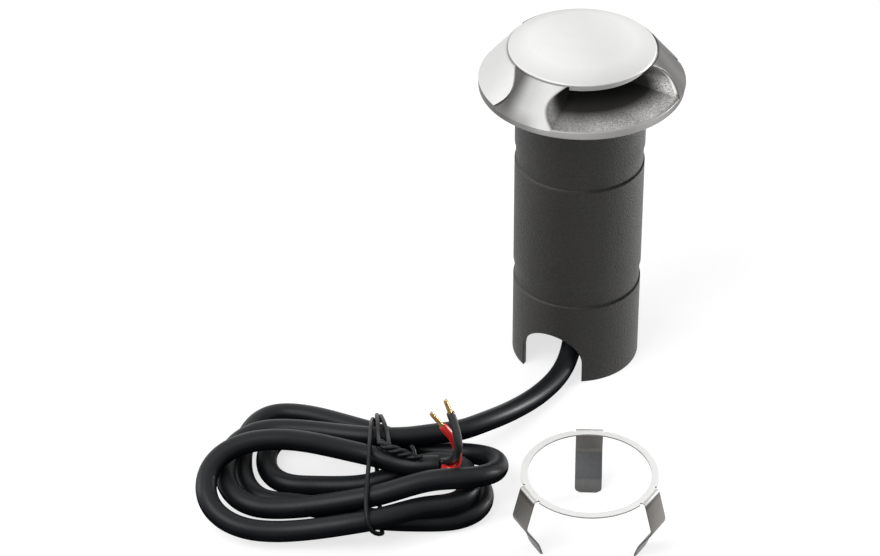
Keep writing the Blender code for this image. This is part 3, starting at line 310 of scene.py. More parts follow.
# Painted bands of light and shade round the head's steel, by the share of a turn from the back over the left
# side
STEEL_PAINTED_LIGHT_BANDS = (
    (0.00, (0.42, 0.41, 0.40)),
    (0.22, (0.20, 0.195, 0.19)),
    (0.355, (0.06, 0.059, 0.057)),
    (0.392, (0.46, 0.46, 0.45)),
    (0.43, (0.49, 0.49, 0.48)),
    (0.48, (0.48, 0.471, 0.457)),
    (0.60, (0.40, 0.392, 0.38)),
    (0.70, (0.035, 0.034, 0.033)),
    (0.735, (0.095, 0.093, 0.09)),
    (0.77, (0.035, 0.034, 0.033)),
    (0.90, (0.40, 0.39, 0.38)),
)
# Clip tones from the foot up: painted reflections and shade of the bent strip, with a painted shadow just
# below the ring
SPRING_PAINTED_LIGHT_BANDS = (
    (0.0, (0.09, 0.088, 0.086)),
    (0.17, (0.13, 0.13, 0.13)),
    (0.22, (0.075, 0.079, 0.084)),
    (0.50, (0.07, 0.073, 0.078)),
    (0.56, (0.155, 0.146, 0.133)),
    (0.88, (0.11, 0.102, 0.094)),
    (0.955, (0.03, 0.028, 0.026)),
    (1.0, (0.62, 0.61, 0.59)),
)
# Tones of the head where it is cast, its painted shade where its parts shade each other, and its painted
# highlight along a window's lip
CAST_GREY = (0.16, 0.155, 0.15)
SHADED_GREY = (0.16, 0.156, 0.15)
GRAIN_TONES = ((0.11, 0.108, 0.104), (0.88, 0.87, 0.845))
PILLAR_SHADE = (0.09, 0.088, 0.085)
INNER_SHADE = (0.042, 0.041, 0.039)
LIP_HIGHLIGHT = (0.86, 0.85, 0.83)
# How far inside the skirt's slope they begin and are full, and where the lip ends again
CAST_DEPTHS = (0.0001, 0.0011)
LEFT_EDGE_DEPTHS = (0.0001, 0.0004)
INNER_DEPTHS = (0.0034, 0.0086)
LIP_DEPTHS = (0.0001, 0.0004, 0.0008, 0.0012)
# Heights above the rim up to which its foot is shaded, and from which the lip begins and is full
LOW_HEIGHT = 0.003
LIP_HEIGHTS = (0.0005, 0.0012)
# The azimuths between which they come and go, in radians
LEFT_EDGE_AZIMUTHS = (-0.2, -0.1)
PILLAR_SHADE_AZIMUTHS = (-0.5, 0.1)
LOW_AZIMUTHS = (-0.62, -0.45)
LIP_AZIMUTHS = (0.9, 1.0, 1.4, 1.5)
# Tones of the cap and the left blank, and the painted shade that the cap takes at its right, outwards and on
# its band
CAP_TONES = ((0.91, 0.908, 0.89), (0.95, 0.948, 0.932))
PETAL_TONES = ((0.65, 0.648, 0.636), (0.69, 0.688, 0.676))
CAP_RIGHT_SHADE = (0.52, 0.515, 0.50)
CAP_OUTER_SHADE = (0.34, 0.335, 0.325)
CAP_EDGE_SHADE = (0.16, 0.157, 0.152)
CAP_LIMITS = (CAP_RADIUS + 0.0001, CAP_RADIUS + 0.0003)
CAP_RIGHT_X = (-0.002, 0.021)
CAP_OUTER_RADII = (0.0165, CAP_RADIUS)
CAP_EDGE_HEIGHTS = (CAP_BAND_TOP - 0.0003, CAP_BAND_TOP)
# The coat at the grooves' lower edges: a painted black shadow line at the right and a painted highlight at
# the left
GROOVE_SHADOW = (0.002, 0.002, 0.002)
GROOVE_HIGHLIGHT = (0.075, 0.07, 0.066)
GROOVE_LINE = (0.0003, 0.0007)
GROOVE_SHADOW_X = (0.0, 0.0132)
GROOVE_HIGHLIGHT_X = (-0.0183, -0.0041)
STREAK_GREY = (0.30, 0.29, 0.28)
ROLLING_STRETCH = (1, 1, 0.06)
GLASS_TONES = ((0.84, 0.89, 0.89), (0.90, 0.94, 0.94))
FLOOR_TONES = ((0.38, 0.38, 0.38), (0.40, 0.40, 0.40))
# Plain finishes: dark and light tone, roughness, metallic, grain scale, and the bump's strength and height
PLAIN_FINISHES = {
    "screw_steel": ((0.48, 0.48, 0.47), (0.58, 0.58, 0.57), 0.35, 0.9, 1800, 0.1, 0.00003),
    "bare_aluminium": ((0.40, 0.40, 0.40), (0.48, 0.48, 0.48), 0.4, 0.5, 1600, 0.1, 0.00003),
    "cut_edge": ((0.17, 0.17, 0.175), (0.30, 0.30, 0.305), 0.42, 0.4, 2600, 0.2, 0.00003),
    "black_nylon": ((0.016, 0.016, 0.016), (0.026, 0.026, 0.027), 0.45, 0.0, 2400, 0.2, 0.00004),
    "white_laminate": ((0.74, 0.74, 0.72), (0.82, 0.82, 0.80), 0.5, 0.0, 1200, 0.08, 0.00003),
    "green_laminate": ((0.030, 0.16, 0.065), (0.045, 0.21, 0.085), 0.4, 0.0, 1400, 0.08, 0.00003),
    "led_phosphor": ((0.78, 0.62, 0.12), (0.88, 0.73, 0.18), 0.4, 0.0, 5000, 0.2, 0.00003),
    "red_insulation": ((0.50, 0.010, 0.010), (0.64, 0.018, 0.016), 0.38, 0.0, 1800, 0.15, 0.00004),
    "black_insulation": ((0.010, 0.010, 0.010), (0.018, 0.018, 0.018), 0.38, 0.0, 1800, 0.15, 0.00004),
    "bare_copper": ((0.11, 0.06, 0.02), (0.50, 0.31, 0.11), 0.3, 0.65, 2600, 0.4, 0.00006),
    "capacitor_sleeve": ((0.02, 0.035, 0.12), (0.035, 0.055, 0.17), 0.38, 0.0, 1600, 0.08, 0.00003),
}

# The coat and the rubber likewise, with the share of broad noise in their grain
COAT = ((0.007, 0.0064, 0.0058), (0.021, 0.0192, 0.0175), 0.5, 0.0, 1500, 1.0, 0.00025, 0.15)
RUBBER = ((0.0042, 0.0047, 0.0057), (0.0095, 0.0105, 0.0125), 0.4, 0.0, 1500, 0.18, 0.00006, 0.5)
# The specular level off and on the grooves' dark lines, and of rubber that faces sideways and up
COAT_SHINE = (0.38, 0.04)
RUBBER_SHINE = (0.0, 0.27)

# Shared node groups
BROAD_SCALE_SHARE = 0.06
MASK_GAIN = 2.6
MASK_OFFSET = 0.8
TURNING_DRIFT = 0.00004

# Meshes
MERGE_DISTANCE = 1e-7
SHORTEST_EDGE = 1e-8

# Camera, from the photograph's frame of 880 by 556
CAMERA_PLACE = (-0.0441668, -0.7777455, 0.6123173)
CAMERA_PITCH = math.radians(35.5415)
CAMERA_ROLL = math.radians(-0.319)
CAMERA_LENS_MM = 127.31
CAMERA_SENSOR_MM = 36
CAMERA_CLIP = (0.01, 20)

# Studio: each lamp's name, place, size and power
LAMPS = (
    ("key", (-0.55, -0.45, 0.85), (0.7, 0.7), 7.2),
    ("strip", (0.66, 0.26, 0.09), (0.08, 0.16), 6.5),
    ("edge", (-0.85, 0.20, 0.25), (0.2, 0.5), 1.7),
)
LAMP_AIM = (-0.02, 0.0, 0.05)
WORLD_STRENGTH = 0.38
FLOOR_REACH = 3.0
FLOOR_GLOW = 0.72


def unit(vectors):
    """Vectors brought to a length of 1."""
    return vectors / np.linalg.norm(vectors, axis=-1, keepdims=True)


def travelled(line):
    """How far along the line each of its points lies."""
    return np.concatenate([[0], np.cumsum(np.linalg.norm(np.diff(line, axis=0), axis=1))])


def points_at(line, places):
    """The points of a line at these distances along it."""
    along = travelled(line)
    return np.stack([np.interp(places, along, values) for values in line.T], axis=1)


def grid_faces(rows, columns, ring, start):
    """Four-sided faces between neighbouring points of a grid, closed along its rows, or both ways."""
    index = np.arange(rows * columns).reshape(rows, columns) + start
    index = np.concatenate([index, index[:, :1]], axis=1)
    if ring:
        index = np.concatenate([index, index[:1]])
    corners = (index[:-1, :-1], index[:-1, 1:], index[1:, 1:], index[1:, :-1])
    return np.stack(corners, axis=-1).reshape(-1, 4)


def add_piece(name, grids, finish, body="light", rings=0, smooth_angle=35):
    """A mesh piece from grids of points, merged where points meet, that rides on its body.

    Each grid is closed along its rows. The first ones, as many as rings, are closed by their columns too.
    """
    faces, start = [], 0
    for number, grid in enumerate(grids):
        rows, columns = grid.shape[:2]
        faces.append(grid_faces(rows, columns, number < rings, start))
        start += rows * columns
    points = np.concatenate([grid.reshape(-1, 3) for grid in grids])
    mesh = bpy.data.meshes.new(name)
    mesh.from_pydata(points.tolist(), [], np.concatenate(faces).tolist())
    bm = bmesh.new()
    bm.from_mesh(mesh)
    bmesh.ops.remove_doubles(bm, verts=bm.verts, dist=MERGE_DISTANCE)
    bmesh.ops.dissolve_degenerate(bm, dist=SHORTEST_EDGE, edges=bm.edges)
    bmesh.ops.recalc_face_normals(bm, faces=bm.faces)
    bm.to_mesh(mesh)
    bm.free()
    mesh.shade_smooth()
    mesh.set_sharp_from_angle(angle=math.radians(smooth_angle))
    piece = bpy.data.objects.new(name, mesh)
    bpy.context.scene.collection.objects.link(piece)
    mesh.materials.append(finish)
    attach(piece, body)
    return piece


def rounded_line(corners, radii, steps):
    """A line through corners, each inner one replaced by a quadratic arc that leaves it by its radius."""
    corners = np.array(corners, float)
    line = [corners[:1]]
    share = np.linspace(0, 1, steps)[:, None]
    for before, corner, after, radius in zip(corners, corners[1:], corners[2:], radii):
        arc = (1 - share) ** 2 * unit(before - corner) + share**2 * unit(after - corner)
        line.append(corner + radius * arc)
    line.append(corners[-1:])
    return np.concatenate(line)


def rounded_loop(corners, radii, steps):
    """A closed outline with each corner replaced by a quadratic arc that leaves it by its radius."""
    corners = [corners[-1], *corners, corners[0]]
    return rounded_line(corners, radii, steps)[1:-1]


def spaced(line, step):
    """The same line with its long stretches filled in at about this step."""
    along = travelled(line)
    counts = np.maximum(np.round(np.diff(along) / step).astype(int), 1)
    filled = [np.linspace(*ends, count, endpoint=False) for *ends, count in zip(along, along[1:], counts)]
    return points_at(line, np.concatenate([*filled, along[-1:]]))


def about_light(azimuth, radius, z):
    """Points about the light's axis: x = r sin(azimuth), y = LIGHT_Y - r cos(azimuth)."""
    azimuth, radius, z = np.broadcast_arrays(azimuth, radius, z)
    return np.stack([radius * np.sin(azimuth), LIGHT_Y - radius * np.cos(azimuth), z], axis=-1)


def turned_grid(outline):
    """Rows of (radius, z) turned about the light's axis."""
    azimuth = np.linspace(0, 2 * np.pi, TURNED_COLUMNS, endpoint=False)
    return about_light(azimuth, outline[:, :1], outline[:, 1:])


def closed_ends(grid):
    """The grid with one more row at each end, drawn in to the middle of the row beside it."""
    first, last = (np.broadcast_to(row.mean(axis=0), row.shape)[None] for row in (grid[0], grid[-1]))
    return np.concatenate([first, grid, last])


def add_camera():
    """The photograph's camera: pitched down, a little rolled, without shift or depth of field."""
    data = bpy.data.cameras.new("photo_camera")
    data.lens = CAMERA_LENS_MM
    data.sensor_width = CAMERA_SENSOR_MM
    data.clip_start, data.clip_end = CAMERA_CLIP
    camera = bpy.data.objects.new("photo_camera", data)
    tilt = Matrix.Rotation(math.pi / 2 - CAMERA_PITCH, 4, "X")
    camera.matrix_world = Matrix.Translation(CAMERA_PLACE) @ tilt @ Matrix.Rotation(CAMERA_ROLL, 4, "Z")
    bpy.context.scene.collection.objects.link(camera)
    bpy.context.scene.camera = camera


def smooth_curve(places, steps):
    """Points along the smooth curve through these places.

    Each stretch is a cubic that has the chord of its neighbours as its slope at either end.
    """
    places = np.array(places, float)
    ends = np.concatenate([[2 * places[0] - places[1]], places, [2 * places[-1] - places[-2]]])
    before, start, stop, after = ends[:-3, None], ends[1:-2, None], ends[2:-1, None], ends[3:, None]
    share = (np.arange(steps) / steps)[None, :, None]
    bend = 2 * before - 5 * start + 4 * stop - after
    twist = 3 * start - before - 3 * stop + after
    route = start + ((stop - before) * share + bend * share**2 + twist * share**3) / 2
    return np.concatenate([route.reshape(-1, places.shape[1]), places[-1:]])


def curve_by_light(places, steps):
    """The smooth curve through places measured from the light's axis."""
    return smooth_curve(np.array(places) + (0, LIGHT_Y, 0), steps)


def eased(route, times, closed=False):
    """The route with each place half its own and a quarter of each neighbour's. Open ends stay."""
    for _ in range(times):
        softer = route / 2 + (np.roll(route, 1, axis=0) + np.roll(route, -1, axis=0)) / 4
        if not closed:
            softer[[0, -1]] = route[[0, -1]]
        route = softer
    return route


def hank_turn(side, first, centre_x, centre_y, reach, half_width, z_in, z_out):
    """A half turn: x = centre + side reach sin^f(angle), y = centre + first half_width cos^f(angle).

    The height is eased from z in to z out, and f is the fullness.
    """
    angle = np.linspace(0, np.pi, HANK_TURN_POINTS)
    across = np.cos(angle)
    x = centre_x + side * reach * np.abs(np.sin(angle)) ** HANK_FULLNESS
    y = centre_y + first * half_width * np.sign(across) * np.abs(across) ** HANK_FULLNESS
    return np.stack([x, y, z_in + (z_out - z_in) * (1 - across) / 2], axis=1)


def hank_run(start, stop, start_heading, stop_heading, waist):
    """Two cubics from one turn to the next through the tie, with the chord as their slope there."""
    start, stop, waist = (np.array(place, float) for place in (start, stop, waist))
    chord = (stop - start) / abs(stop[0] - start[0])
    halves = ((start, waist, np.array(start_heading), chord), (waist, stop, chord, np.array(stop_heading)))
    share = (np.arange(1, HANK_RUN_STEPS + 1) / HANK_RUN_STEPS)[:, None]
    rest = 1 - share
    points = []
    for near, far, near_heading, far_heading in halves:
        reach = abs(far[0] - near[0])
        ends = rest**2 * (1 + 2 * share) * near + share**2 * (3 - 2 * share) * far
        points.append(ends + reach * (share * rest**2 * near_heading - share**2 * rest * far_heading))
    return np.concatenate(points)[:-1]


def cable_route():
    """The cable from the gland, at even steps: free stretch, the hank's turns and runs, straight end."""
    heading = unit(np.subtract(LEAD_ROUTE[-1], LEAD_ROUTE[-2]))
    end_heading = unit(np.array(HANK_END_HEADING))
    straight = 2 * CABLE_RADIUS
    start = np.array(LEAD_ROUTE[-1])
    parts = [smooth_curve(LEAD_ROUTE, LEAD_STEPS)[:-1], start[None], (start + heading * straight)[None]]
    for turn, waist in zip(HANK_TURNS, HANK_RUNS):
        points = hank_turn(*turn)
        outward = np.array((turn[0], 0, 0))
        parts += [hank_run(parts[-1][-1], points[0], heading, outward, (HANK_TIE_X, *waist)), points]
        heading = -outward
    straight_start = np.array(HANK_END) - end_heading * straight
    parts.append(hank_run(parts[-1][-1], straight_start, heading, end_heading, (HANK_TIE_X, *HANK_RUNS[-1])))
    parts += [straight_start[None], np.array(HANK_END)[None]]
    route = np.concatenate(parts) + (0, LIGHT_Y, 0)
    length = travelled(route)[-1]
    return eased(points_at(route, np.linspace(0, length, int(round(length / CABLE_STEP)) + 1)), CABLE_EASINGS)


def ways_across(along, guide):
    """The two ways across a route, the first one also across the guide."""
    side = unit(np.cross(along, guide))
    return side, np.cross(side, along)


def round_rows(route, radii, sides, side, up):
    """Rings of points about a route: place + r (side cos(angle) + up sin(angle))."""
    angle = np.linspace(0, 2 * np.pi, sides, endpoint=False)[None, :, None]
    radii = np.broadcast_to(radii, len(route))[:, None, None]
    return route[:, None] + radii * (side[:, None] * np.cos(angle) + up[:, None] * np.sin(angle))


def tube_grid(route, radius, end_shares, sides, guide=None):
    """A round tube along the route, closed at both ends, which have these shares of its radius.

    Without a guide, the way across it leans from X at the start to Z further on.
    """
    if guide is None:
        lean = np.clip(np.arange(len(route)) / len(route) / GUIDE_LEAN_SHARE, 0, 1)[:, None]
        guide = (1 - lean) * (1, 0, 0) + lean * (0, 0, 1)
    side, up = ways_across(unit(np.gradient(route, axis=0)), guide)
    radii = np.full(len(route), radius)
    radii[[0, -1]] *= end_shares
    return closed_ends(round_rows(route, radii, sides, side, up))


def closed_tube(route, radius, sides):
    """A round tube along a closed route, with its second way across lying along the hank."""
    along = unit(np.roll(route, -1, axis=0) - np.roll(route, 1, axis=0))
    up, side = ways_across(along, (1, 0, 0))
    return round_rows(route, radius, sides, side, up)


def add_cable(finish):
    """The cable's jacket as one tube of its whole length, with its cut end a little rounded."""
    route = cable_route()
    grid = tube_grid(route, CABLE_RADIUS, (1, CUT_END_SHARE), CABLE_SIDES)
    piece = add_piece("cable_jacket", [grid], finish)
    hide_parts("cable_lead", "cable_hank")
    return piece, route


def add_core(colour, places):
    """A core's insulation: a tube along the smooth curve through its places, its ends a little rounded."""
    slot_name = f"{colour}_insulation"
    grid = tube_grid(curve_by_light(places, CORE_STEPS), CORE_RADIUS, CORE_END_SHARES, CORE_SIDES, (0, 1, 0))
    piece = add_piece(f"{colour}_core", [grid], FINISHES[slot_name])
    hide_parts(f"core_{colour}")
    return piece


def add_strands(colour, start, tip):
    """Bare strands: tubes on a helix about the line from the core to its tip, round one in the middle."""
    start, tip = np.array(start) + (0, LIGHT_Y, 0), np.array(tip) + (0, LIGHT_Y, 0)
    side, up = ways_across(unit(tip - start), (0, 1, 0))
    share = np.linspace(-STRAND_HIDDEN_SHARE, 1, STRAND_POINTS)[:, None]
    line = start + (tip - start) * share
    grids = []
    for number in range(STRAND_COUNT):
        angle = number * 2 * math.pi / (STRAND_COUNT - 1) + share * STRAND_TWIST
        reach = 0 if number == STRAND_COUNT - 1 else STRAND_CIRCLE * (1 - STRAND_NARROWING * share)
        route = line + reach * (side * np.cos(angle) + up * np.sin(angle))
        route = route[: len(route) - (number * 5) % 3]
        grids.append(tube_grid(route, STRAND_RADIUS, (1, STRAND_TIP_SHARE), STRAND_SIDES, (0, 1, 0)))
    piece = add_piece(f"{colour}_core_strands", grids, FINISHES["bare_copper"])
    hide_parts(f"copper_{colour}")
    return piece


def tie_loop():
    """The taut outline of the runs at the tie, moved along the hank by the lean table.

    Each way round has its outermost run, whose round side the loop touches. It starts on the light's side.
    """
    runs = np.array(HANK_RUNS)
    angle = np.linspace(0, 2 * np.pi, TIE_WAYS)
    way = np.stack([np.cos(angle), np.sin(angle)], axis=1)
    outline = runs[np.argmax(runs @ way.T, axis=0)] + (CABLE_RADIUS + TIE_RADIUS + TIE_CLEARANCE) * way
    share = np.linspace(0, 1, TIE_POINTS, endpoint=False)
    y, z = points_at(outline, share * travelled(outline)[-1]).T
    x = HANK_TIE_X + np.interp(share, *np.array(TIE_LEAN).T, period=1)
    return eased(np.stack([x, y + LIGHT_Y, z], axis=1), TIE_EASINGS, closed=True)


def add_tie(finish):
    """The elastic tie: a loop round the runs, two strands over the top, a twist of three and two ends."""
    middle = curve_by_light(TIE_KNOT, KNOT_STEPS)
    side, up = ways_across(unit(np.gradient(middle, axis=0)), (0, 0, 1))
    share = np.linspace(0, 1, len(middle))[:, None]
    swell = KNOT_REACH + KNOT_SWELL * np.sin(np.pi * share) ** 2
    routes = []
    for number in range(KNOT_STRANDS):
        angle = share * KNOT_TWIST + number * 2 * math.pi / KNOT_STRANDS
        routes.append(middle + swell * (side * np.cos(angle) + KNOT_FLATNESS * up * np.sin(angle)))
    routes += [curve_by_light(end, CORE_STEPS) for end in (*TIE_OVERS, *TIE_ENDS)]
    grids = [closed_tube(tie_loop(), TIE_RADIUS, TIE_SIDES)]
    grids += [tube_grid(route, TIE_RADIUS, TIE_END_SHARES, TIE_SIDES, (0, 0, 1)) for route in routes]
    piece = add_piece("elastic_tie", grids, finish, rings=1)
    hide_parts("cable_tie")
    return piece


def notch_edge():
    """The tube's lower edge, round the foot and up over the notch, as columns.

    Returns the foot's azimuths beyond the notch, the way across and the height of the notch's own columns,
    and the azimuth where each column meets the plain tube. The foot fans out, so that columns never cross.
    """
    half_angle = math.asin(NOTCH_HALF_WIDTH / BODY_RADIUS)
    back = np.linspace(half_angle, 2 * np.pi - half_angle, BACK_COLUMNS)
    back_up = np.pi + (back - np.pi) * (np.pi - half_angle - NOTCH_FAN) / (np.pi - half_angle)
    left_up = np.linspace(-half_angle - NOTCH_FAN, -half_angle, NOTCH_SIDE_COLUMNS + 2)[1:-1]
    arch_up = half_angle * np.linspace(-1, 1, ARCH_COLUMNS)
    arch = np.linspace(np.pi, 0, ARCH_COLUMNS)
    side = np.full(NOTCH_SIDE_COLUMNS, NOTCH_HALF_WIDTH)
    rise = np.linspace(0, NOTCH_STRAIGHT, NOTCH_SIDE_COLUMNS + 1)[1:]
    across = np.concatenate([-side, NOTCH_HALF_WIDTH * np.cos(arch), side])
    height = np.concatenate([rise, NOTCH_STRAIGHT + NOTCH_HALF_WIDTH * np.sin(arch), rise[::-1]])
    return back, across, height, np.concatenate([back_up, left_up, arch_up, -left_up[::-1]]) + NOTCH_AZIMUTH


def edge_row(columns, inset, depth):
    """A row of the tube's lower edge: azimuth, z and radius, moved up into the wall and inwards."""
    back, across, height = columns
    radius = BODY_RADIUS - depth
    half_width = NOTCH_HALF_WIDTH + inset
    full = math.asin(NOTCH_HALF_WIDTH / BODY_RADIUS)
    foot = np.pi + (back - np.pi) * (np.pi - math.asin(half_width / radius)) / (np.pi - full)
    on_arch = height > NOTCH_STRAIGHT
    arch_angle = np.arctan2(np.maximum(height - NOTCH_STRAIGHT, 0), across)
    moved = np.where(on_arch, half_width * np.cos(arch_angle), across + np.sign(across) * inset)
    arch_height = NOTCH_STRAIGHT + half_width * np.sin(arch_angle)
    lifted = np.where(on_arch, arch_height, np.maximum(height, inset))
    azimuth = np.concatenate([foot, np.arcsin(np.clip(moved / radius, -1, 1))]) + NOTCH_AZIMUTH
    z = np.concatenate([np.full(len(foot), inset), lifted])
    return azimuth, z, np.full(len(z), radius)


def plain_rows(azimuth, outline):
    """Rows of the plain tube, one for each radius and z of an outline."""
    return [(azimuth, np.full(len(azimuth), z), np.full(len(azimuth), radius)) for radius, z in outline]


def blended_rows(azimuth, low, shares):
    """Rows between the plain tube above and a row of its lower edge, by their share of the way down."""
    turn, drop = low[0] - azimuth, low[1] - NOTCH_BLEND_TOP
    return [(azimuth + turn * share, NOTCH_BLEND_TOP + drop * share, low[2]) for share in shares]


def add_housing(finish):
    """The tube as one closed grid: plain tube with grooves, and below it rows that bend round the notch."""
    *columns, upper = notch_edge()
    bore = BODY_RADIUS - BODY_WALL
    floor = BODY_RADIUS - GROOVE_DEPTH
    outer = [(bore, BODY_HEIGHT), (BODY_RADIUS, BODY_HEIGHT)]
    for bottom in GROOVE_BOTTOMS[::-1]:
        top = bottom + GROOVE_HEIGHT
        outer += [(BODY_RADIUS, top), (floor, top - GROOVE_SLOPE)]
        outer += [(floor, bottom + GROOVE_SLOPE), (BODY_RADIUS, bottom)]
    outer.append((BODY_RADIUS, NOTCH_BLEND_TOP))
    radii = [EDGE_ROUNDING, *[GROOVE_ROUNDING] * (len(outer) - 3)]
    rows = plain_rows(upper, spaced(rounded_line(outer, radii, steps=4), TUBE_STEP))
    shares = np.linspace(0, 1, OUTER_BLEND_ROWS + 1)[1:]
    rows += blended_rows(upper, edge_row(columns, EDGE_ROUNDING, 0), shares)
    quarter = np.linspace(0, np.pi / 2, EDGE_ROWS)
    insets, depths = EDGE_ROUNDING * (1 - np.sin(quarter)), EDGE_ROUNDING * (1 - np.cos(quarter))
    rows += [edge_row(columns, inset, depth) for inset, depth in zip(insets[1:], depths[1:])]
    rows += [edge_row(columns, inset, BODY_WALL - depth) for inset, depth in zip(insets[::-1], depths[::-1])]
    rows += blended_rows(upper, rows[-1], np.linspace(1, 0, INNER_BLEND_ROWS + 1)[1:])
    inner = [
        (bore, NOTCH_BLEND_TOP),
        (bore, BULKHEAD_Z),
        (GLAND_HOLE, BULKHEAD_Z),
        (GLAND_HOLE, BULKHEAD_TOP),
        (bore, BULKHEAD_TOP),
        (bore, BODY_HEIGHT),
    ]
    rows += plain_rows(upper, spaced(rounded_line(inner, BORE_ROUNDINGS, steps=3), BORE_STEP)[1:-1])
    azimuth, z, radius = (np.array(part) for part in zip(*rows))
    piece = add_piece("housing_tube", [about_light(azimuth, radius, z)], finish, rings=1)
    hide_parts("housing_body")


def window_floor(radius):
    """The height of the windows' floor, which slopes up from the rim towards the axis."""
    return RIM_TOP + (RIM_RADIUS - radius) * WINDOW_FLOOR_SLOPE


def window_share(height_share):
    """How much of its angle a window has at a height: the quartic through its named rows."""
    curve = np.polyfit(WINDOW_HEIGHT_SHARES, WINDOW_WIDTH_SHARES, 4)
    return np.polyval(curve, np.clip(height_share, 0, 1))


def skirt_radius(share):
    """The radius where the skirt's slope meets the line at this share of the way from floor to shell top."""
    floor_part = (1 - share) * (RIM_TOP + RIM_RADIUS * WINDOW_FLOOR_SLOPE) + share * SHELL_TOP
    slope_part = 1 - SKIRT_FALL * (1 - share) * WINDOW_FLOOR_SLOPE
    return (RIM_RADIUS + SKIRT_FALL * (RIM_TOP - floor_part)) / slope_part


def sector_block(share, start, stop, inner, rounding, gap, top):
    """An upright block on the skirt between two edges, each a row of azimuths by height share.

    Every row is a closed outline: outer arc, rounded corner, side, inner arc, side, rounded corner. A corner
    is a quadratic arc, (1-s)^2 on the outer face and s^2 on the side. The block stands a gap above the
    windows' floor and from its neighbours, and goes up to its top.
    """
    outer = skirt_radius(share)[:, None]
    start = (start + gap / RIM_RADIUS)[:, None]
    stop = (stop - gap / RIM_RADIUS)[:, None]
    turn = rounding / outer
    s = np.linspace(0, 1, BLOCK_CORNER_COLUMNS)
    face = np.linspace(0, 1, BLOCK_OUTER_COLUMNS + 2)[1:-1]
    depth = np.linspace(0, 1, BLOCK_SIDE_COLUMNS + 1)[1:]
    back = np.linspace(1, 0, BLOCK_INNER_COLUMNS + 2)[1:]
    side_start = outer - rounding
    side = side_start + (inner - side_start) * depth
    parts = [
        (start + turn + (stop - start - 2 * turn) * face, outer),
        (stop - turn * (1 - s) ** 2, outer - rounding * s**2),
        (stop, side),
        (start + (stop - start) * back, inner),
        (start, (inner + (side_start - inner) * depth)[:, :-1]),
        (start + turn * (1 - s[::-1]) ** 2, outer - rounding * s[::-1] ** 2),
    ]
    parts = [np.broadcast_arrays(*part) for part in parts]
    azimuth, radius = (np.concatenate(columns, axis=1) for columns in zip(*parts))
    floor = window_floor(radius) + gap
    return closed_ends(about_light(azimuth, radius, floor + share[:, None] * (top - floor)))


def add_head(steel, petal_steel):
    """The head: a turned base with its sloping window floor, three pillars, and the covers of two windows."""
    groove_floor = SPIGOT_RADIUS - SEAL_GROOVE_DEPTH
    groove_bottom = SEAL_GROOVE_TOP - SEAL_GROOVE_HEIGHT
    corners = [
        (LIGHT_BORE, window_floor(LIGHT_BORE)),
        (RIM_RADIUS, RIM_TOP),
        (RIM_RADIUS, FLANGE_Z),
        (SEAT_RADIUS, FLANGE_Z),
        (SEAT_RADIUS, SEAT_Z),
        (SPIGOT_RADIUS, SEAT_Z),
        (SPIGOT_RADIUS, SEAL_GROOVE_TOP),
        (groove_floor, SEAL_GROOVE_TOP),
        (groove_floor, groove_bottom),
        (SPIGOT_RADIUS, groove_bottom),
        (SPIGOT_RADIUS, SPIGOT_BOTTOM),
        (SPIGOT_BORE, SPIGOT_BOTTOM),
        (SPIGOT_BORE, LENS_SHOULDER),
        (LIGHT_BORE, LENS_SHOULDER),
    ]
    grids = [turned_grid(spaced(rounded_loop(corners, HEAD_ROUNDINGS, steps=5), HEAD_STEP))]
    rise = np.linspace(0, 1, BLOCK_ROWS)
    share = np.concatenate([[PILLAR_SUNK_SHARE], rise])
    width = window_share(share)
    for number, azimuth in enumerate(WINDOW_AZIMUTHS):
        before = WINDOW_AZIMUTHS[number - 1] - (2 * np.pi if number == 0 else 0)
        start = before + WINDOW_HALF_ANGLES[number - 1] * width
        stop = azimuth - WINDOW_HALF_ANGLES[number] * width
        grids.append(sector_block(share, start, stop, LIGHT_BORE, PILLAR_ROUNDING, 0, CAP_SEAT))
    piece = add_piece("head", grids, steel, rings=1, smooth_angle=40)
    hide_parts("head_shell")
    inner = skirt_radius(np.ones(1))[0] - BLANK_DEPTH
    blanks = (("blank_left", 0, "polished_steel", petal_steel), ("blank_rear", 2, "satin_steel", steel))
    for name, number, slot_name, finish in blanks:
        reach = WINDOW_HALF_ANGLES[number] * window_share(rise)
        start, stop = WINDOW_AZIMUTHS[number] - reach, WINDOW_AZIMUTHS[number] + reach
        grid = sector_block(rise, start, stop, inner, BLANK_ROUNDING, BLANK_GAP, SHELL_TOP)
        blank = add_piece(name, [grid], finish, smooth_angle=50)
        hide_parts(f"window_{name}")


def add_cap(finish):
    """The cap: a sphere's cap over a narrow band, r = R sin(angle), z = centre + R cos(angle), flat below."""
    rise = CAP_TOP - CAP_BAND_TOP
    sphere = (CAP_RADIUS**2 + rise**2) / (2 * rise)
    angle = np.linspace(0, math.asin(CAP_RADIUS / sphere), CAP_ROWS)
    dome = np.stack([sphere * np.sin(angle), CAP_TOP - sphere + sphere * np.cos(angle)], axis=1)
    edge = rounded_line((dome[-2], dome[-1], (CAP_RADIUS, CAP_SEAT), (0, CAP_SEAT)), CAP_ROUNDINGS, steps=6)
    grid = turned_grid(np.concatenate([dome[:-1], edge[1:]]))
    piece = add_piece("cap", [grid], finish, smooth_angle=50)
    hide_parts("dome_cap")


def about_ring(azimuth, reach, z, sideways=0):
    """About the ring's axis: x = r sin(azimuth) + w cos(azimuth), y = r cos(azimuth) - w sin(azimuth)."""
    x = RING_X + reach * np.sin(azimuth) + sideways * np.cos(azimuth)
    y = RING_Y + reach * np.cos(azimuth) - sideways * np.sin(azimuth)
    return np.stack([x, y, np.broadcast_to(z, x.shape)], axis=-1)


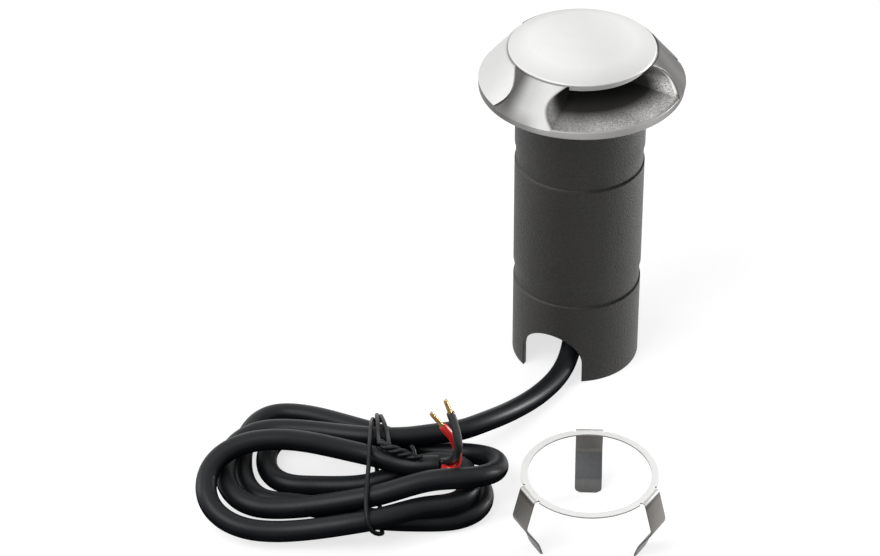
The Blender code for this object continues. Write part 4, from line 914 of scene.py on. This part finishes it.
def add_ring(finish, edge_finish):
    """The flat ring: a rounded strip turned about its axis, its outer edge drawn in at the relief notches."""
    azimuth = np.linspace(0, 2 * np.pi, RING_COLUMNS, endpoint=False)
    off = azimuth - np.array(CLIP_AZIMUTHS)[:, None]
    across = RING_RADIUS * np.sin(off) + FAR_AWAY * (np.cos(off) < 0)
    beside = np.abs(np.abs(across) - (CLIP_WIDTH + RELIEF_WIDTH) / 2).min(axis=0)
    notch = np.clip((RELIEF_WIDTH / 2 - beside) / RELIEF_SLOPE + 0.5, 0, 1)
    loop = rounded_loop([(1, 1), (1, 0), (0, 0), (0, 1)], [RING_ROUNDING / RING_WIDTH] * 4, steps=3)
    inner = RING_RADIUS - RING_WIDTH
    radius = inner + (RING_RADIUS - RELIEF_DEPTH * notch - inner) * loop[:, :1]
    z = RING_TOP - RING_THICKNESS * (1 - loop[:, 1:])
    piece = add_piece("ring", [about_ring(azimuth, radius, z)], finish, rings=1)
    piece.data.materials.append(edge_finish)
    normals = np.empty(3 * len(piece.data.polygons))
    piece.data.polygons.foreach_get("normal", normals)
    upright = np.abs(normals[2::3]) < EDGE_STEEPNESS
    piece.data.polygons.foreach_set("material_index", upright.astype(int))
    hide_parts("mounting_ring")


def add_clip(name, body, azimuth, finish):
    """A bent strip: a flat section with rounded edges carried along the bent line, narrowing at its foot."""
    line = spaced(rounded_line(CLIP_PATH, CLIP_BENDS, steps=9), CLIP_STEP)
    along = unit(np.gradient(line, axis=0))
    outward = np.stack([-along[:, 1], along[:, 0]], axis=1)
    left = travelled(line)[-1] - travelled(line)
    foot = np.sqrt(np.clip(CLIP_CORNER**2 - np.clip(CLIP_CORNER - left, 0, None) ** 2, 0, None))
    half = RING_THICKNESS / 2
    section = rounded_loop([(1, 1), (1, -1), (-1, -1), (-1, 1)], [CLIP_ROUNDING / half] * 4, steps=3)
    wide = np.sign(section[:, 0]) * (1 - (1 - np.abs(section[:, 0])) * half / (CLIP_WIDTH / 2))
    across = (CLIP_WIDTH / 2 - CLIP_CORNER + foot)[:, None] * wide
    thick = half * section[:, 1]
    reach = RING_RADIUS + CLIP_REACH + line[:, :1] + outward[:, :1] * thick
    height = RING_TOP - half + line[:, 1:] + outward[:, 1:] * thick
    grid = closed_ends(about_ring(azimuth, reach, height, across))
    piece = add_piece(f"{body}_strip", [grid], finish, body)
    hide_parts(name)


# Node groups shared by the finishes
def new_group(name, inputs, outputs):
    """An empty shader node group with a Vector input and these float inputs and outputs."""
    group = bpy.data.node_groups.new(name, "ShaderNodeTree")
    group.interface.new_socket("Vector", in_out="INPUT", socket_type="NodeSocketVector")
    for label, default in inputs:
        socket = group.interface.new_socket(label, in_out="INPUT", socket_type="NodeSocketFloat")
        socket.default_value = default
    for label in outputs:
        group.interface.new_socket(label, in_out="OUTPUT", socket_type="NodeSocketFloat")
    return group, group.nodes.new("NodeGroupInput").outputs, group.nodes.new("NodeGroupOutput").inputs


def add_math(tree, operation, first, second=0.0, clamp=False):
    """A Math node whose inputs are sockets or plain numbers."""
    node = tree.nodes.new("ShaderNodeMath")
    node.operation = operation
    node.use_clamp = clamp
    for socket, value in zip(node.inputs, (first, second)):
        if isinstance(value, (int, float)):
            socket.default_value = value
        else:
            tree.links.new(value, socket)
    return node.outputs[0]


def add_product(tree, *factors):
    """The product of several sockets or numbers."""
    product = factors[0]
    for factor in factors[1:]:
        product = add_math(tree, "MULTIPLY", product, factor)
    return product


def add_split(tree, vector):
    """The X, Y and Z of a vector."""
    split = tree.nodes.new("ShaderNodeSeparateXYZ")
    tree.links.new(vector, split.inputs[0])
    return split.outputs


def add_noise(tree, vector, scale, detail, roughness=0.5):
    """Noise at a scale that comes from a socket."""
    noise = tree.nodes.new("ShaderNodeTexNoise")
    noise.inputs["Detail"].default_value = detail
    noise.inputs["Roughness"].default_value = roughness
    tree.links.new(vector, noise.inputs["Vector"])
    tree.links.new(scale, noise.inputs["Scale"])
    return noise.outputs["Fac"]


def grain_group():
    """Fine noise over broad noise: a height for bumps and a mask from 0 to 1 for colour and roughness."""
    inputs = (("Scale", 2000.0), ("Broad Share", 0.4))
    group, entry, leave = new_group("grain", inputs, ("Height", "Mask"))
    fine = add_noise(group, entry["Vector"], entry["Scale"], 4, 0.6)
    broad = add_noise(group, entry["Vector"], add_product(group, entry["Scale"], BROAD_SCALE_SHARE), 2)
    mixed = add_product(group, add_math(group, "SUBTRACT", broad, fine), entry["Broad Share"])
    spread = add_product(group, add_math(group, "ADD", fine, mixed), MASK_GAIN)
    group.links.new(fine, leave["Height"])
    group.links.new(add_math(group, "SUBTRACT", spread, MASK_OFFSET, clamp=True), leave["Mask"])
    return group


def turning_group():
    """Fine rings about an upright axis: noise read at (radius, height), with the azimuth and the radius."""
    group, entry, leave = new_group("turning_rings", (("Pitch", 9000.0),), ("Height", "Azimuth", "Radius"))
    x, y, z = add_split(group, entry["Vector"])
    square = add_math(group, "ADD", add_product(group, x, x), add_product(group, y, y))
    radius = add_math(group, "SQRT", square)
    azimuth = add_math(group, "ARCTAN2", x, add_product(group, y, -1.0))
    join = group.nodes.new("ShaderNodeCombineXYZ")
    for value, socket in zip((radius, z, add_product(group, azimuth, TURNING_DRIFT)), join.inputs):
        group.links.new(value, socket)
    rings = add_noise(group, join.outputs[0], entry["Pitch"], 3)
    for label, value in (("Height", rings), ("Azimuth", azimuth), ("Radius", radius)):
        group.links.new(value, leave[label])
    return group


def new_finish(name, roughness, metallic):
    """A material with its shader and its own settings on the shader's sockets."""
    finish = bpy.data.materials.new(name)
    finish.use_nodes = True
    shader = finish.node_tree.nodes["Principled BSDF"]
    shader.inputs["Roughness"].default_value = roughness
    shader.inputs["Metallic"].default_value = metallic
    return finish, finish.node_tree, shader


def object_place(tree, label="Object"):
    """The place on the piece, or its normal."""
    return tree.nodes.new("ShaderNodeTexCoord").outputs[label]


def mapped(tree, place, label, value):
    """The place moved or stretched by a Mapping node."""
    mapping = tree.nodes.new("ShaderNodeMapping")
    mapping.inputs[label].default_value = value
    tree.links.new(place, mapping.inputs["Vector"])
    return mapping.outputs["Vector"]


def add_shared(tree, group, place, settings, outputs):
    """A shared group with its own settings, and these of its outputs."""
    node = tree.nodes.new("ShaderNodeGroup")
    node.node_tree = group
    for label, value in settings.items():
        node.inputs[label].default_value = value
    tree.links.new(place, node.inputs["Vector"])
    return [node.outputs[label] for label in outputs]


def add_grain(tree, place, scale, broad_share):
    """The grain's height and mask."""
    return add_shared(tree, GRAIN, place, {"Scale": scale, "Broad Share": broad_share}, ("Height", "Mask"))


def add_turning(tree, pitch):
    """The turning rings' height about the light's axis, then z, the azimuth and the radius of the place."""
    local = mapped(tree, object_place(tree), "Location", (0, -LIGHT_Y, 0))
    outputs = ("Height", "Azimuth", "Radius")
    rings, azimuth, radius = add_shared(tree, TURNING, local, {"Pitch": pitch}, outputs)
    return rings, add_split(tree, local)["Z"], azimuth, radius


def add_ramp(tree, value, stops):
    """A colour ramp with these (position, colour) stops, eased between them."""
    ramp = tree.nodes.new("ShaderNodeValToRGB")
    ramp.color_ramp.interpolation = "EASE"
    elements = ramp.color_ramp.elements
    while len(elements) < len(stops):
        elements.new(0.5)
    for element, (position, colour) in zip(elements, stops):
        element.position = position
        element.color = (*colour, 1)
    tree.links.new(value, ramp.inputs["Fac"])
    return ramp.outputs["Color"]


def add_mix(tree, factor, first, second):
    """A colour mix; each side is a socket or a plain colour."""
    mix = tree.nodes.new("ShaderNodeMix")
    mix.data_type = "RGBA"
    tree.links.new(factor, mix.inputs["Factor"])
    for socket, value in ((mix.inputs[6], first), (mix.inputs[7], second)):
        if isinstance(value, tuple):
            socket.default_value = (*value, 1)
        else:
            tree.links.new(value, socket)
    return mix.outputs[2]


def add_range(tree, value, span, ends=(0, 1)):
    """A value moved from a span to between these ends, clamped."""
    node = tree.nodes.new("ShaderNodeMapRange")
    for socket, number in zip(node.inputs[1:5], (*span, *ends)):
        socket.default_value = number
    tree.links.new(value, node.inputs["Value"])
    return node.outputs["Result"]


def add_span(tree, value, places):
    """One between the middle two of four places of a value, and nought beyond the outer two."""
    return add_product(tree, add_range(tree, value, places[:2]), add_range(tree, value, places[2:], (1, 0)))


def add_bump(tree, shader, height, strength, distance):
    """Fine relief from a height, on the shader's normal."""
    bump = tree.nodes.new("ShaderNodeBump")
    bump.inputs["Strength"].default_value = strength
    bump.inputs["Distance"].default_value = distance
    tree.links.new(height, bump.inputs["Height"])
    tree.links.new(bump.outputs["Normal"], shader.inputs["Normal"])


def grained_finish(name, dark, light, roughness, metallic, scale, strength, distance, broad_share=0.4):
    """A plain finish of two near tones with a grain of its own scale, in its colour, roughness and relief."""
    finish, tree, shader = new_finish(name, roughness, metallic)
    height, mask = add_grain(tree, object_place(tree), scale, broad_share)
    toned = add_mix(tree, mask, dark, light)
    rough = add_range(tree, mask, (0, 1), (roughness * 1.15, roughness * 0.88))
    tree.links.new(toned, shader.inputs["Base Color"])
    tree.links.new(rough, shader.inputs["Roughness"])
    add_bump(tree, shader, height, strength, distance)
    return finish, tree, shader, toned


def powder_coat():
    """Dark brown-grey powder coat: raised grains, a soft blotch, and at each groove's lower edge a painted
    shadow line at the right and a painted highlight at the left.
    """
    finish, tree, shader, toned = grained_finish("dark_powder_coat", *COAT)
    x, _, z = add_split(tree, object_place(tree))
    # A painted shadow line at each groove's lower edge on the right, and a painted highlight there on the
    # left
    edges = [add_math(tree, "ABSOLUTE", add_math(tree, "SUBTRACT", z, bottom)) for bottom in GROOVE_BOTTOMS]
    line = add_range(tree, add_math(tree, "MINIMUM", *edges), GROOVE_LINE, (1, 0))
    shaded = add_product(tree, line, add_range(tree, x, GROOVE_SHADOW_X, (0, 0.85)))
    lit = add_product(tree, line, add_range(tree, x, GROOVE_HIGHLIGHT_X, (0.5, 0)))
    toned = add_mix(tree, lit, add_mix(tree, shaded, toned, GROOVE_SHADOW), GROOVE_HIGHLIGHT)
    tree.links.new(add_range(tree, shaded, (0, 0.85), COAT_SHINE), shader.inputs["Specular IOR Level"])
    tree.links.new(toned, shader.inputs["Base Color"])
    return finish


def satin_steel():
    """Satin cast steel: broad painted bands of light and shade round it, faint turning rings, grained where
    it is cast, painted shade where its parts shade each other, and a painted highlight on a window's lip.

    The depth is how far a place lies inside the skirt's slope, and risen is its height above the rim.
    """
    finish, tree, shader = new_finish("satin_steel", 0.42, 0.32)
    shader.inputs["Specular IOR Level"].default_value = 0.2
    rings, z, azimuth, radius = add_turning(tree, 5200)
    height, mask = add_grain(tree, object_place(tree), 2300, 0.2)
    risen = add_math(tree, "MAXIMUM", add_math(tree, "SUBTRACT", z, RIM_TOP), 0.0)
    skirt = add_math(tree, "SUBTRACT", RIM_RADIUS, add_product(tree, risen, SKIRT_FALL))
    depth = add_math(tree, "SUBTRACT", skirt, radius)
    # Painted light and shade round the head by azimuth: broad highlights and dark sectors
    bands = add_ramp(tree, add_range(tree, azimuth, (-math.pi, math.pi)), STEEL_PAINTED_LIGHT_BANDS)
    toned = add_mix(tree, add_range(tree, mask, (0, 1), (0, 0.22)), bands, CAST_GREY)
    low = add_range(tree, risen, (0, LOW_HEIGHT), (0.6, 0))
    low = add_product(tree, low, add_range(tree, azimuth, LOW_AZIMUTHS, (1, 0)))
    toned = add_mix(tree, low, toned, SHADED_GREY)
    grains = add_mix(tree, mask, *GRAIN_TONES)
    grains = add_mix(tree, add_range(tree, azimuth, PILLAR_SHADE_AZIMUTHS, (0.82, 0)), grains, PILLAR_SHADE)
    left_edge = add_range(tree, azimuth, LEFT_EDGE_AZIMUTHS, (0.92, 0))
    left_edge = add_product(tree, left_edge, add_range(tree, depth, LEFT_EDGE_DEPTHS))
    cast = add_math(tree, "MAXIMUM", add_range(tree, depth, CAST_DEPTHS, (0, 0.9)), left_edge)
    toned = add_mix(tree, cast, toned, grains)
    toned = add_mix(tree, add_range(tree, depth, INNER_DEPTHS), toned, INNER_SHADE)
    # A painted highlight along the lip at the front window's right edge
    lip = add_product(tree, add_span(tree, depth, LIP_DEPTHS), add_span(tree, azimuth, LIP_AZIMUTHS))
    lip = add_product(tree, lip, add_range(tree, risen, LIP_HEIGHTS))
    rough = add_range(tree, mask, (0, 1), (0.5, 0.36))
    rough = add_math(tree, "ADD", rough, add_product(tree, left_edge, 0.4))
    tree.links.new(add_mix(tree, lip, toned, LIP_HIGHLIGHT), shader.inputs["Base Color"])
    tree.links.new(rough, shader.inputs["Roughness"])
    add_bump(tree, shader, add_math(tree, "ADD", add_product(tree, rings, 0.5), height), 0.3, 0.00008)
    return finish


def fine_steel(name, dark, light):
    """Fine smooth steel: near white with the faintest cloud and turning rings.

    Within the cap's radius it has painted shade: greyer at its right and outwards, and darker on the cap's
    band.
    """
    finish, tree, shader = new_finish(name, 0.42, 0.15)
    rings, z, _, radius = add_turning(tree, 3600)
    place = object_place(tree)
    _, mask = add_grain(tree, place, 260, 0.5)
    # Painted shade on the cap: greyer at its right and outwards, and darker on its band
    within = add_range(tree, radius, CAP_LIMITS, (1, 0))
    right_shade = add_product(tree, add_range(tree, add_split(tree, place)["X"], CAP_RIGHT_X, (0, 0.24)), within)
    outer = add_product(tree, add_range(tree, radius, CAP_OUTER_RADII, (0, 0.27)), within)
    band = add_product(tree, add_range(tree, z, CAP_EDGE_HEIGHTS, (0.6, 0)), within)
    toned = add_mix(tree, right_shade, add_mix(tree, mask, dark, light), CAP_RIGHT_SHADE)
    toned = add_mix(tree, band, add_mix(tree, outer, toned, CAP_OUTER_SHADE), CAP_EDGE_SHADE)
    tree.links.new(toned, shader.inputs["Base Color"])
    tree.links.new(add_range(tree, mask, (0, 1), (0.462, 0.378)), shader.inputs["Roughness"])
    add_bump(tree, shader, rings, 0.05, 0.00002)
    return finish


def spring_steel():
    """Rolled spring steel: warm grey, streaked down the strip, with painted reflections and shade by height
    that darken its middle.
    """
    finish, tree, shader = new_finish("spring_steel", 0.4, 0.4)
    place = object_place(tree)
    height, mask = add_grain(tree, mapped(tree, place, "Scale", ROLLING_STRETCH), 1500, 0.5)
    # Painted reflections and shade of the bent strip by height, with a painted shadow just below the ring
    bands = add_ramp(tree, add_range(tree, add_split(tree, place)["Z"], (0, RING_TOP)), SPRING_PAINTED_LIGHT_BANDS)
    toned = add_mix(tree, add_range(tree, mask, (0, 1), (0, 0.25)), bands, STREAK_GREY)
    tree.links.new(toned, shader.inputs["Base Color"])
    tree.links.new(add_range(tree, mask, (0, 1), (0.46, 0.34)), shader.inputs["Roughness"])
    add_bump(tree, shader, height, 0.12, 0.00004)
    return finish


def cable_rubber():
    """Black rubber with a fine dusty grain, and a soft sheen where it faces up."""
    finish, tree, shader, _ = grained_finish("cable_rubber", *RUBBER)
    upward = add_split(tree, object_place(tree, "Normal"))["Z"]
    tree.links.new(add_range(tree, upward, (0.15, 0.95), RUBBER_SHINE), shader.inputs["Specular IOR Level"])
    return finish


def clear_glass():
    """Clear glass: plain metallic and transmission weight, with only its tint and roughness clouded."""
    finish, tree, shader = new_finish("clear_glass", 0.05, 0)
    shader.inputs["Transmission Weight"].default_value = 1
    _, mask = add_grain(tree, object_place(tree), 300, 0.5)
    tree.links.new(add_mix(tree, mask, *GLASS_TONES), shader.inputs["Base Color"])
    tree.links.new(add_range(tree, mask, (0, 1), (0.04, 0.09)), shader.inputs["Roughness"])
    return finish


def dress_frame():
    """Each CAD node that still shows takes the finish of its slot."""
    slots = {row["node"]: row["material_slot"] for row in frame["record"]["subparts"]}
    for name, node in frame["nodes"].items():
        node.data.materials.clear()
        node.data.materials.append(FINISHES[slots[name]])


def seen_plainly(tree):
    """One for what the camera, metal and glass see, and nought for the light that reaches surfaces."""
    path = tree.nodes.new("ShaderNodeLightPath").outputs
    seen = add_math(tree, "MAXIMUM", path["Is Camera Ray"], path["Is Glossy Ray"])
    return add_math(tree, "MAXIMUM", seen, path["Is Transmission Ray"])


def add_floor():
    """A wide pale floor, whose lit parts reach white for the camera and keep a faint shadow."""
    mesh = bpy.data.meshes.new("floor")
    corners = [(x * FLOOR_REACH, y * FLOOR_REACH, 0) for x, y in ((-1, -1), (1, -1), (1, 1), (-1, 1))]
    mesh.from_pydata(corners, [], [(0, 1, 2, 3)])
    floor = bpy.data.objects.new("floor", mesh)
    bpy.context.scene.collection.objects.link(floor)
    finish, tree, shader = new_finish("pale_floor", 0.9, 0)
    shader.inputs["Specular IOR Level"].default_value = 0
    _, mask = add_grain(tree, object_place(tree), 40, 0.5)
    tree.links.new(add_mix(tree, mask, *FLOOR_TONES), shader.inputs["Base Color"])
    glow = tree.nodes.new("ShaderNodeEmission")
    tree.links.new(add_product(tree, seen_plainly(tree), FLOOR_GLOW), glow.inputs["Strength"])
    both = tree.nodes.new("ShaderNodeAddShader")
    tree.links.new(shader.outputs["BSDF"], both.inputs[0])
    tree.links.new(glow.outputs[0], both.inputs[1])
    tree.links.new(both.outputs[0], tree.nodes["Material Output"].inputs["Surface"])
    mesh.materials.append(finish)


def add_lamp(name, place, size, power):
    """A soft rectangular lamp at a place, turned to the lamps' aim."""
    data = bpy.data.lights.new(name, "AREA")
    data.shape = "RECTANGLE"
    data.size, data.size_y = size
    data.energy = power
    lamp = bpy.data.objects.new(name, data)
    back = unit(np.subtract(place, LAMP_AIM))
    side = unit(np.cross((0, 0, 1), back))
    placed = np.eye(4)
    placed[:3] = np.stack([side, np.cross(back, side), back, place], axis=1)
    lamp.matrix_world = Matrix(placed.tolist())
    bpy.context.scene.collection.objects.link(lamp)


def add_world():
    """A pale world, white for what the camera, metal and glass see."""
    world = bpy.data.worlds.new("studio")
    bpy.context.scene.world = world
    world.use_nodes = True
    tree = world.node_tree
    mix = tree.nodes.new("ShaderNodeMixShader")
    plain, bright = tree.nodes["Background"], tree.nodes.new("ShaderNodeBackground")
    for background, strength, socket in ((plain, WORLD_STRENGTH, mix.inputs[1]), (bright, 1, mix.inputs[2])):
        background.inputs["Strength"].default_value = strength
        background.inputs["Color"].default_value = (1, 1, 1, 1)
        tree.links.new(background.outputs[0], socket)
    tree.links.new(seen_plainly(tree), mix.inputs["Fac"])
    tree.links.new(mix.outputs[0], tree.nodes["World Output"].inputs["Surface"])


GRAIN = grain_group()
TURNING = turning_group()
FINISHES = {name: grained_finish(name, *values)[0] for name, values in PLAIN_FINISHES.items()}
FINISHES["dark_powder_coat"] = powder_coat()
FINISHES["satin_steel"] = satin_steel()
FINISHES["polished_steel"] = fine_steel("polished_steel", *CAP_TONES)
FINISHES["petal_steel"] = fine_steel("petal_steel", *PETAL_TONES)
FINISHES["spring_steel"] = spring_steel()
FINISHES["clear_glass"] = clear_glass()
FINISHES["black_rubber"] = cable_rubber()

add_camera()
jacket, jacket_route = add_cable(FINISHES["black_rubber"])
on_cable = [add_tie(FINISHES["black_rubber"])]
on_cable += [add_core(colour, route) for colour, route, _ in CORES]
on_cable += [add_strands(colour, route[-1], tip) for colour, route, tip in CORES]
add_housing(FINISHES["dark_powder_coat"])
add_head(FINISHES["satin_steel"], FINISHES["petal_steel"])
add_cap(FINISHES["polished_steel"])
add_ring(FINISHES["polished_steel"], FINISHES["cut_edge"])
for side_name, clip_azimuth in zip(("rear", "right", "left"), CLIP_AZIMUTHS):
    add_clip(f"spring_clip_{side_name}", f"clip_{side_name}", clip_azimuth, FINISHES["spring_steel"])
dress_frame()
add_floor()
for lamp in LAMPS:
    add_lamp(*lamp)
add_world()
bpy.context.scene.view_settings.view_transform = "Standard"
